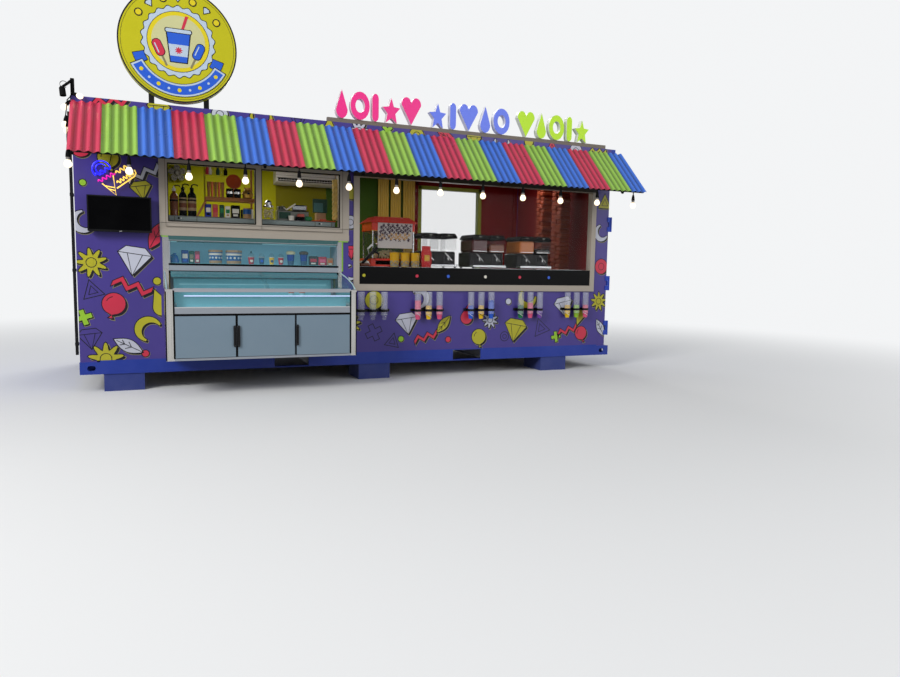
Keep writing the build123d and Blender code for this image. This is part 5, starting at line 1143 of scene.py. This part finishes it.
def counter_goods():
    """Cups, a bag and a scoop gun on the front counter, beside the popcorn machine and the juicers."""
    goods = Piece("counter_goods").at(0, machine_low.y - 0.035, counter_z)
    for x in (0.145, 0.268, 0.388):
        goods.turn([(0, 0), (0.046, 0), (0.056, 0.155), (0, 0.155)], (x, 0, 0), cup_yellow, sides=22)
        goods.turn([(0.0475, 0.006), (0.0515, 0.068)], (x, 0, 0), cup_grey, sides=22)
        dots_round(goods, x, 0, (0.035, 0.047, 0.059), 0.051, range(-150, -37, 14),
                   [(0.011, 0), (0.008, 0.004), (0, 0.005)], (cup_yellow, tan_label), 7)
        goods.turn([(0.056, 0.15), (0.059, 0.155), (0.056, 0.16), (0.05, 0.158), (0.048, 0.12)], (x, 0, 0), cup_yellow,
                   sides=22)
    # Soft bag of five rings with six points each. Columns: height, half width, depth
    x, points = 0.525, []
    for z, half, depth in ((0, 0.05625, 0.05), (0.08, 0.0625, 0.055), (0.15, 0.059375, 0.05), (0.2, 0.05, 0.02),
                           (0.24, 0.053125, 0.006)):
        near, far = -depth / 3, depth / 3
        ring = ((x - half, near, z), (x, -depth / 2, z + 0.004), (x + half, near, z), (x + half, far, z),
                (x, depth / 2, z), (x - half, far, z))
        points += [goods.placed(point) for point in ring]
    faces = [(k + j, k + (j + 1) % 6, k + 6 + (j + 1) % 6, k + 6 + j) for k in range(0, 24, 6) for j in range(6)]
    goods.add(points, faces + [(5, 4, 3, 2, 1, 0), (24, 25, 26, 27, 28, 29)], bag_red)
    goods.box(x - 0.03, x + 0.035, -0.031, -0.02, 0.07, 0.14, gold, 0.006)
    # Scoop gun leaning on the glass, and a basket of sachets
    goods.tube([(-0.235, 0, 0.03), (-0.15, -0.005, 0.12), (-0.06, -0.005, 0.21)], 0.018, black, 12)
    goods.tube([(-0.15, 0, 0.12), (-0.17, 0, 0.19), (-0.12, 0, 0.24)], 0.010, white)
    goods.tube([(-0.10, 0, 0.17), (-0.04, 0, 0.14), (-0.05, 0, 0.09)], 0.012, black)
    goods.tube([(-0.20, 0, 0.07), (-0.15, 0, 0.02)], 0.012, white)
    goods.box(-0.26, -0.15, -0.02, 0.07, 0, 0.035, tea, 0.008)
    for x in (-0.25 + 0.02 * k for k in range(5)):
        goods.box(x, x + 0.013, -0.01, 0.05, 0.02, 0.06, paper, 0.002)
    goods.build()


def juicer_dress():
    """Three twin dispensers: black bases with drip trays and slanted taps, bowls with juice, black lids."""
    piece = Piece("juicer_dress", "juicer_black")
    step, deep = (house_high.x - house_low.x - 0.46) / 2, house_high.y - house_low.y
    for k in range(3):
        piece.at(house_low.x + k * step, house_low.y, counter_z)
        piece.box(0.004, 0.456, 0.09, deep, 0.012, 0.19, black, 0.012)
        piece.box(0.01, 0.45, 0, 0.12, 0.012, 0.04, bright_steel, 0.003)
        for x in (0.03 + 0.045 * j for j in range(9)):
            piece.box(x, x + 0.03, 0.01, 0.085, 0.04, 0.0415, black)
        for x in (0.03, 0.43):
            for y in (0.04, deep - 0.04):
                piece.rod((x, y, 0), (x, y, 0.02), 0.014, rubber, 10)
        for x in (0.115, 0.345):
            piece.box(x - 0.045, x + 0.045, 0.086, 0.092, 0.055, 0.16, edge_black, 0.002)
            piece.rod((x, 0.09, 0.135), (x, 0.05, 0.13), 0.012, black, 12)
            piece.tube([(x - 0.045, 0.045, 0.175), (x + 0.045, 0.04, 0.085)], 0.007, chrome, 10)
            piece.rod((x, 0.05, 0.13), (x, 0.05, 0.09), 0.008, chrome, 10)
    # Bowls. Columns: dispenser, side, juice (None for an empty bowl), level
    wide, deep, high = 0.206, deep - 0.06, 0.165
    for k, j, juice, level in ((0, 0, None, 0), (0, 1, None, 0), (1, 0, maroon, 0.15), (1, 1, tea, 0.10),
                               (2, 0, orange_juice, 0.15), (2, 1, cola, 0.06)):
        piece.at(house_low.x + k * step + 0.012 + 0.23 * j, house_low.y + 0.03, counter_z + 0.19)
        piece.box(0, wide, 0, deep, 0, high, clear, 0.018)
        if juice:
            piece.box(0.002, wide - 0.002, -0.001, deep - 0.004, 0.001, level, juice, 0.016)
        piece.rod((wide / 2, deep / 2, 0), (wide / 2, deep / 2, high - 0.01), 0.03, clear)
        lid = [(-0.004, high - 0.012), (wide + 0.004, high - 0.012), (wide + 0.004, high + 0.004),
               (wide - 0.026, high + 0.044), (0.026, high + 0.044), (-0.004, high + 0.004)]
        piece.plate(lid, -0.003, deep + 0.004, dull_black)
        piece.box(0.085, wide - 0.09, -0.006, 0, high + 0.012, high + 0.03, unit_steel, 0.002)
        piece.box(0.012, wide - 0.012, 0, 0.003, 0.012, 0.018, chrome)
    piece.build(replaced=("juicer_housings", "juicer_bowls"))


def back_wall_goods():
    """Bamboo panels, carved columns and a lime edge round the doorway, as they show through the glass."""
    goods = Piece("back_wall_goods").at(0, lining_high.y, 0)
    for a, b, low in ((0.64, 0.80, 1.75), (0.83, 0.985, 1.75), (1.02, 1.20, 1.45)):
        pitch = (b - a) / 5
        for x in (a + (k + 0.5) * pitch for k in range(5)):
            goods.rod((x, -0.07, low), (x, -0.07, 2.56), pitch * 0.5, bamboo, 10)
            for z in (1.95, 2.25, 2.48):
                goods.rod((x, -0.07, z), (x, -0.07, z + 0.012), pitch * 0.54, bamboo, 10)
        for z in (low + 0.06, 2.5):
            goods.box(a, b, -0.04, -0.003, z, z + 0.03, wood, 0.003)
    goods.at()
    for y, half in ((-0.35, 0.115), (0.09, 0.09)):
        for k in range(23):
            z, tilt, notch = 1.22 + 0.058 * k, 0.010 * (k % 3), 0.012 * (k % 2)
            goods.box(2.63 + tilt, 2.80, y - half + notch, y - 0.006, z, z + 0.054, carved, 0.012)
            goods.box(2.64 - tilt / 2, 2.80, y + 0.004, y + half - notch, z + 0.02, z + 0.074, carved, 0.012)
    # Plates over the inner faces of the right posts, and the lining's strip above the doorway
    for sides in ((2.8505, 2.917, 1.2405, 1.2425), (2.849, 2.8505, 1.2405, 1.270),
                  (2.8505, 2.917, -0.9625, -0.9605)):
        goods.box(*sides, deck_z, 2.63, red_plate)
    goods.at(0, lining_high.y, 0)
    goods.box(1.232, 2.348, -0.012, -0.001, 2.452, lining_high.z, slots["lining"], 0.0005)
    low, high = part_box("entry_frame")
    goods.at(0, low.y, 0)
    for x in (low.x - 0.005, high.x - 0.045):
        goods.box(x, x + 0.05, -0.006, -0.0005, deck_z + 0.02, 2.45, lime_edge, 0.001)
    goods.box(low.x, high.x, -0.006, -0.0005, 2.40, 2.45, lime_edge, 0.001)
    goods.build()


def cooler_dress():
    """Split air conditioner: rounded white case with slots on top, and a dark outlet with a flap."""
    low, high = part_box("cooler")
    case = Piece("cooler_dress", "appliance_white").at(*low)
    wide, deep, tall = (b - a for a, b in zip(low, high))
    foot = 0.11
    # Outline in y and z from the wall over the top, front and underside
    outline = [(deep, tall), (0.03, tall), (0.008, tall - 0.02), (0, tall - 0.06), (0, foot + 0.05),
               (0.022, foot + 0.045), (0.03, foot), (0.06, foot - 0.022), (deep, foot - 0.032)]
    case.prism(*([(x, y, z) for y, z in outline] for x in (0, wide)), slots["appliance_white"])
    case.box(0.03, wide - 0.03, 0.0195, 0.0285, foot + 0.004, foot + 0.046, dull_black)
    case.box(0.04, wide - 0.04, 0.012, 0.018, foot + 0.016, foot + 0.022, white)
    for x in (0.06 + 0.037 * k for k in range(22)):
        case.box(x, x + 0.003, 0.015, 0.0195, foot + 0.008, foot + 0.042, white)
    case.box(0.001, wide - 0.001, -0.0004, 0.002, tall - 0.104, tall - 0.101, dull_black)
    for x in (wide - 0.12 + 0.02 * k for k in range(3)):
        case.box(x, x + 0.008, -0.0005, 0.001, foot + 0.07, foot + 0.073, lime_glow)
    for x in (0.05 + 0.046 * k for k in range(18)):
        case.box(x, x + 0.03, 0.05, deep - 0.04, tall - 0.0012, tall - 0.0002, dull_black)
    case.build(replaced=("cooler",))


def ring(radius, y, count):
    """Points of an upright circle."""
    return [(u, y, v) for u, v in circle(radius, count=count)]


def ray(degrees, *stops):
    """Points along a direction in an upright plane, each given by its radius and y."""
    u, v = polar(1, degrees)
    return [(r * u, y, r * v) for r, y in stops]


def wall_fan():
    """Caged fan on a bracket at the back wall."""
    y, radius = 1.19, 0.118
    fan = Piece("wall_fan").at(-2.034, y, 2.392)
    blade = [(-0.10, 0.16), (-0.36, 0.55), (-0.30, 0.84), (0.02, 0.90), (0.30, 0.72), (0.22, 0.30), (0.12, 0.14)]
    for angle in range(0, 360, 72):
        fan.plate(turned(blade, 0, 0, radius, angle), 0, 0.004, fan_grey)
    fan.turn([(0, 0), (0.020, 0.002), (0.024, 0.02), (0, 0.022)], (0, 0.004, 0), fan_grey, (0, -1, 0))
    fan.turn([(0, 0), (0.034, 0), (0.042, 0.03), (0.036, 0.055), (0, 0.058)], (0, 0.012, 0), dull_black, (0, 1, 0))
    for share, depth in ((1, 0), (0.66, -0.02), (0.3, -0.028)):
        fan.tube(ring(radius * share, depth, 24), 0.0022, dull_black, 6, closed=True)
    for k in range(16):
        fan.tube(ray(22.5 * k, (radius, 0), (radius * 0.6, -0.022), (0.02, -0.03)), 0.0014, dull_black, 5)
    wall = lining_high.y - 0.019 - y
    fan.box(-0.012, 0.012, 0.05, wall, -0.012, 0.012, dull_black, 0.003)
    fan.box(-0.03, 0.03, wall - 0.007, wall, -0.05, 0.05, dull_black, 0.004)
    fan.build()


def strip_dots():
    """Small dots that divide the blank sign strip."""
    low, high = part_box("sign_strip")
    dots = Piece("strip_dots", "strip_black").at(0, low.y, (low.z + high.z) / 2)
    for x, colour in ((-0.24, wrap_yellow), (0.38, wrap_red), (0.764, ribbon_blue), (1.24, paper), (1.70, wrap_red),
                      (2.105, ribbon_blue)):
        dots.rod((x, 0, 0), (x, -0.001, 0), 0.018, colour, 16)
    dots.build()


def rack_dress():
    """Clear tubes in black clamps on the bars, each with its stack of cups."""
    piece = Piece("rack_dress", "cup_tube")
    radius, bar_depth, rack_pitch, tube_pitch = 0.038, 0.022, 0.66, 0.132
    first_x, tube_z, clamp_z, foot, cup_step = -0.15, 0.72, 0.752, 0.6635, 0.03
    for k in range(5):
        piece.at(first_x + rack_pitch * k, front_y - bar_depth, clamp_z)
        piece.box(-0.205, 0.205, 0.008, 0.014, 0, 0.03, black, 0.002)
        for x in (-0.19, 0.19):
            piece.box(x - 0.01, x + 0.01, 0.012, bar_depth, 0, 0.03, black, 0.002)
    # Tubes from the left, three to a rack. Columns: colour (None for an empty tube), top of the cups, speckle
    stacks = ((None, 0, None), (None, 0, None), (None, 0, None),
              (pink, 0.872, white), (yellow, 0.80, white), (pink, 0.80, None),
              (ribbon_blue, 0.80, white), (yellow, 0.80, edge_black), (ribbon_blue, 0.858, None),
              (green, 0.795, white), (pink, 0.831, None), (cup_purple, 0.79, white),
              (yellow, 0.80, white), (wrap_green, 0.82, None), (pink, 0.80, white))
    for k, (colour, top, speckle) in enumerate(stacks):
        x, y = first_x + rack_pitch * (k // 3) + tube_pitch * (k % 3 - 1), front_y - bar_depth - radius - 0.0003
        piece.at(x, y, 0)
        for wall in ([(radius, 0), (radius, 0.25)], [(radius * 0.96, 0.25), (radius * 0.96, 0)]):
            piece.turn(wall, (0, 0, tube_z), tube_clear, sides=24)
        for z in (tube_z, tube_z + 0.248):
            piece.turn([(radius, 0), (radius, 0.003), (radius * 0.95, 0.003), (radius * 0.95, 0), (radius, 0)],
                       (0, 0, z), tube_rim, sides=24)
        piece.turn([(radius, 0), (radius * 1.005, 0.001), (radius * 1.005, 0.025), (radius, 0.026)], (0, 0, clamp_z),
                   black, sides=24)
        piece.box(-0.018, 0.018, radius * 0.9, radius + 0.0123, clamp_z - 0.002, clamp_z + 0.032, black, 0.002)
        for n in range(round((top - tube_z) / cup_step) + 1 if colour else 1):
            piece.turn([(0, 0), (radius * 0.62, 0), (radius * 0.87, 0.057), (radius * 0.92, 0.059),
                        (radius * 0.9, 0.062)], (0, 0, foot + cup_step * n), colour or tube_clear, sides=22)
        if colour:
            piece.turn([(radius * 0.88, tube_z), (radius * 0.88, top - 0.004)], (0, 0, 0), colour, sides=22)
        for n in range(26 if speckle else 0):
            z = foot + 0.012 + (n * 0.618 % 1) * (top - foot - 0.03)
            r = radius * (0.62 + 0.25 * min(1, (z - foot) / 0.057)) + 0.0008
            u, v = math.cos(n * golden_turn), math.sin(n * golden_turn)
            piece.turn([(0.0045, 0), (0.0035, 0.0012), (0, 0.0015)], (r * u, r * v, z), speckle, (u, v, 0), 6)
    piece.build(replaced=("tube_racks",))


popcorn_dress()
counter_goods()
juicer_dress()
back_wall_goods()
cooler_dress()
wall_fan()
strip_dots()
rack_dress()


# Back and right end
def condenser_dress():
    """Guard of rings and rays over the outdoor unit's fan, blades behind it, louvres, seam and screws."""
    low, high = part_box("condenser")
    guard = Piece("condenser_dress", "appliance_white").at(low.x + 0.328, high.y, (low.z + high.z) / 2)
    blade = [(0.05, 0.22), (-0.32, 0.55), (-0.42, 0.86), (-0.10, 0.93), (0.34, 0.80), (0.30, 0.40), (0.16, 0.20)]
    for k in range(3):
        guard.plate(turned(blade, 0, 0, 0.22, 120 * k + 20), -0.029, 0.006, fan_grey)
    for k in range(11):
        guard.tube(ring(0.068 + 0.0155 * k, -0.006, 36), 0.0022, dull_black, 6, closed=True)
    for k in range(12):
        guard.rod(*ray(30 * k, (0.055, -0.004), (0.229, -0.004)), 0.0025, dull_black, 6)
    wide, deep, tall = (b - a for a, b in zip(low, high))
    guard.at(*low)
    for z in (0.09 + 0.042 * k for k in range(9)):
        guard.box(wide - 0.20, wide - 0.05, deep - 0.004, deep - 0.0002, z, z + 0.016, seam_cream, 0.002)
        guard.box(0.0002, 0.003, 0.04, deep - 0.05, z, z + 0.02, seam_cream, 0.001)
    guard.box(0, wide, 0, deep - 0.0002, tall - 0.042, tall - 0.039, seam_cream)
    for x in (0.02, wide - 0.02):
        for z in (0.02, tall - 0.02):
            guard.rod((x, deep - 0.002, z), (x, deep - 0.0002, z), 0.006, chrome, 8)
    guard.build()


def door_gear():
    """Lock on both faces of the entry door, and gaskets round the cargo doors."""
    low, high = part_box("entry_door")
    gear = Piece("entry_gear", "door_blue", "entry_leaf")
    for y, side in ((high.y - 0.0092, 1), (low.y + 0.0120, -1)):
        gear.at(low.x + 0.07, y, 1.25)
        gear.rod((0, 0, 0), (0, side * 0.003, 0), 0.026, chrome, 24)
        gear.rod((0, side * 0.003, 0), (0, side * 0.006, 0), 0.009, bright_steel, 16)
        gear.box(-0.0015, 0.0015, side * 0.0055, side * 0.0065, -0.006, 0.006, dull_black)
    gear.build()
    x0, x1, lap = 2.9665, 2.9705, 0.012
    for end in ("front", "back"):
        low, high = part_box("cargo_door_" + end)
        y0, y1 = (-0.963, high.y) if end == "front" else (low.y, 1.243)
        seal = Piece("cargo_door_%s_gear" % end, "shell_blue", "cargo_leaf_" + end)
        for a, b in ((y0, y0 + 0.013), (y1 - 0.011, y1)):
            seal.box(x0, x1, a, b, low.z + lap, high.z - lap, rubber)
        for z in (low.z, high.z - lap):
            seal.box(x0, x1, y0, y1, z, z + lap, rubber)
        seal.build()


condenser_dress()
door_gear()


# Stage, lights and camera
def stage_scene():
    """Pale floor that runs out into a backdrop of its own colour, and a soft sky."""
    backdrop = (0.90, 0.91, 0.92, 1)
    mat = bpy.data.materials.new("floor_pale")
    mat.use_nodes = True
    tree = mat.node_tree
    tree.nodes.remove(tree.nodes["Principled BSDF"])
    path = node(tree, "LightPath")
    seen = node(tree, "MAXIMUM", {0: path["Is Camera Ray"], 1: path["Is Glossy Ray"]})[0]
    seen = node(tree, "MAXIMUM", {0: seen, 1: path["Is Transmission Ray"]})[0]
    place = node(tree, "NewGeometry")["Position"]
    away = node(tree, "VectorMath", {0: place}, operation="LENGTH")["Value"]
    fade = span(tree, away, 4.2, 11.0, 0.0, 1.0, interpolation_type="SMOOTHSTEP")
    share = node(tree, "MULTIPLY", {0: fade, 1: seen})[0]
    ground = node(tree, "BsdfDiffuse", {"Color": blend(tree, seen, srgb(150, 150, 150), srgb(228, 228, 227))})[0]
    glow = node(tree, "Emission", {"Color": backdrop, "Strength": 1.0})[0]
    mixed = node(tree, "MixShader", {0: share, 1: ground, 2: glow})[0]
    wire(tree.nodes["Material Output"], {"Surface": mixed})
    half = 60
    mesh = bpy.data.meshes.new("floor")
    mesh.from_pydata([(-half, -half, 0), (half, -half, 0), (half, half, 0), (-half, half, 0)], [], [(0, 1, 2, 3)])
    mesh.materials.append(mat)
    floor = bpy.data.objects.new("floor", mesh)
    bpy.context.scene.collection.objects.link(floor)

    world = bpy.data.worlds.new("studio")
    world.use_nodes = True
    bpy.context.scene.world = world
    tree = world.node_tree
    sky = wire(tree.nodes["Background"], {"Color": (0.92, 0.95, 1.0, 1), "Strength": 0.46}).outputs[0]
    shown = node(tree, "Background", {"Color": backdrop, "Strength": 1.0})[0]
    path = node(tree, "LightPath")
    seen = node(tree, "MAXIMUM", {0: path["Is Camera Ray"], 1: path["Is Transmission Ray"]})[0]
    wire(tree.nodes["World Output"], {0: node(tree, "MixShader", {0: seen, 1: sky, 2: shown})[0]})


def area(name, place, target, size, power, colour=(1, 1, 1)):
    """A square lamp that points from its place to a target."""
    lamp = bpy.data.lights.new(name, "AREA")
    lamp.shape, lamp.size, lamp.energy, lamp.color = "SQUARE", size, power, colour
    made = bpy.data.objects.new(name, lamp)
    made.location = place
    made.rotation_mode = "QUATERNION"
    made.rotation_quaternion = (Vector(target) - Vector(place)).to_track_quat("-Z", "Y")
    bpy.context.scene.collection.objects.link(made)


stage_scene()
area("key", (-9.5, -7.5, 6.5), (0, -0.8, 1.4), 4.0, 930)
area("fill", (6.5, -9.5, 4.0), (0.5, -0.5, 1.0), 6.0, 240)
area("rear", (2.0, 9.0, 7.0), (0, 0, 1.5), 5.0, 480)
for k, (x, power) in enumerate(((-1.4, 26), (0.6, 7), (2.2, 9))):
    area("ceiling_%d" % k, (x, 0.1, 2.60), (x, 0.1, 0), 0.7, power, (1.0, 0.93, 0.82))

eye = Vector((-2.4223, -8.5246, 1.2393))
yaw, pitch, roll = math.radians(23.433), math.radians(-5.693), math.radians(0.9925)
forward = Vector((math.sin(yaw) * math.cos(pitch), math.cos(yaw) * math.cos(pitch), math.sin(pitch)))
right = Vector((math.cos(yaw), -math.sin(yaw), 0))
up = right.cross(forward)
right_rolled = math.cos(roll) * right + math.sin(roll) * up
up_rolled = -math.sin(roll) * right + math.cos(roll) * up
camera = bpy.data.objects.new("camera", bpy.data.cameras.new("camera"))
camera.data.lens, camera.data.sensor_width = 28.0, 36.0
camera.data.clip_start, camera.data.clip_end = 0.1, 200.0
axes = Matrix((right_rolled, up_rolled, -forward)).transposed()
camera.matrix_world = Matrix.Translation(eye) @ axes.to_4x4()
bpy.context.scene.collection.objects.link(camera)
bpy.context.scene.camera = camera
bpy.context.scene.view_settings.view_transform = "Standard"
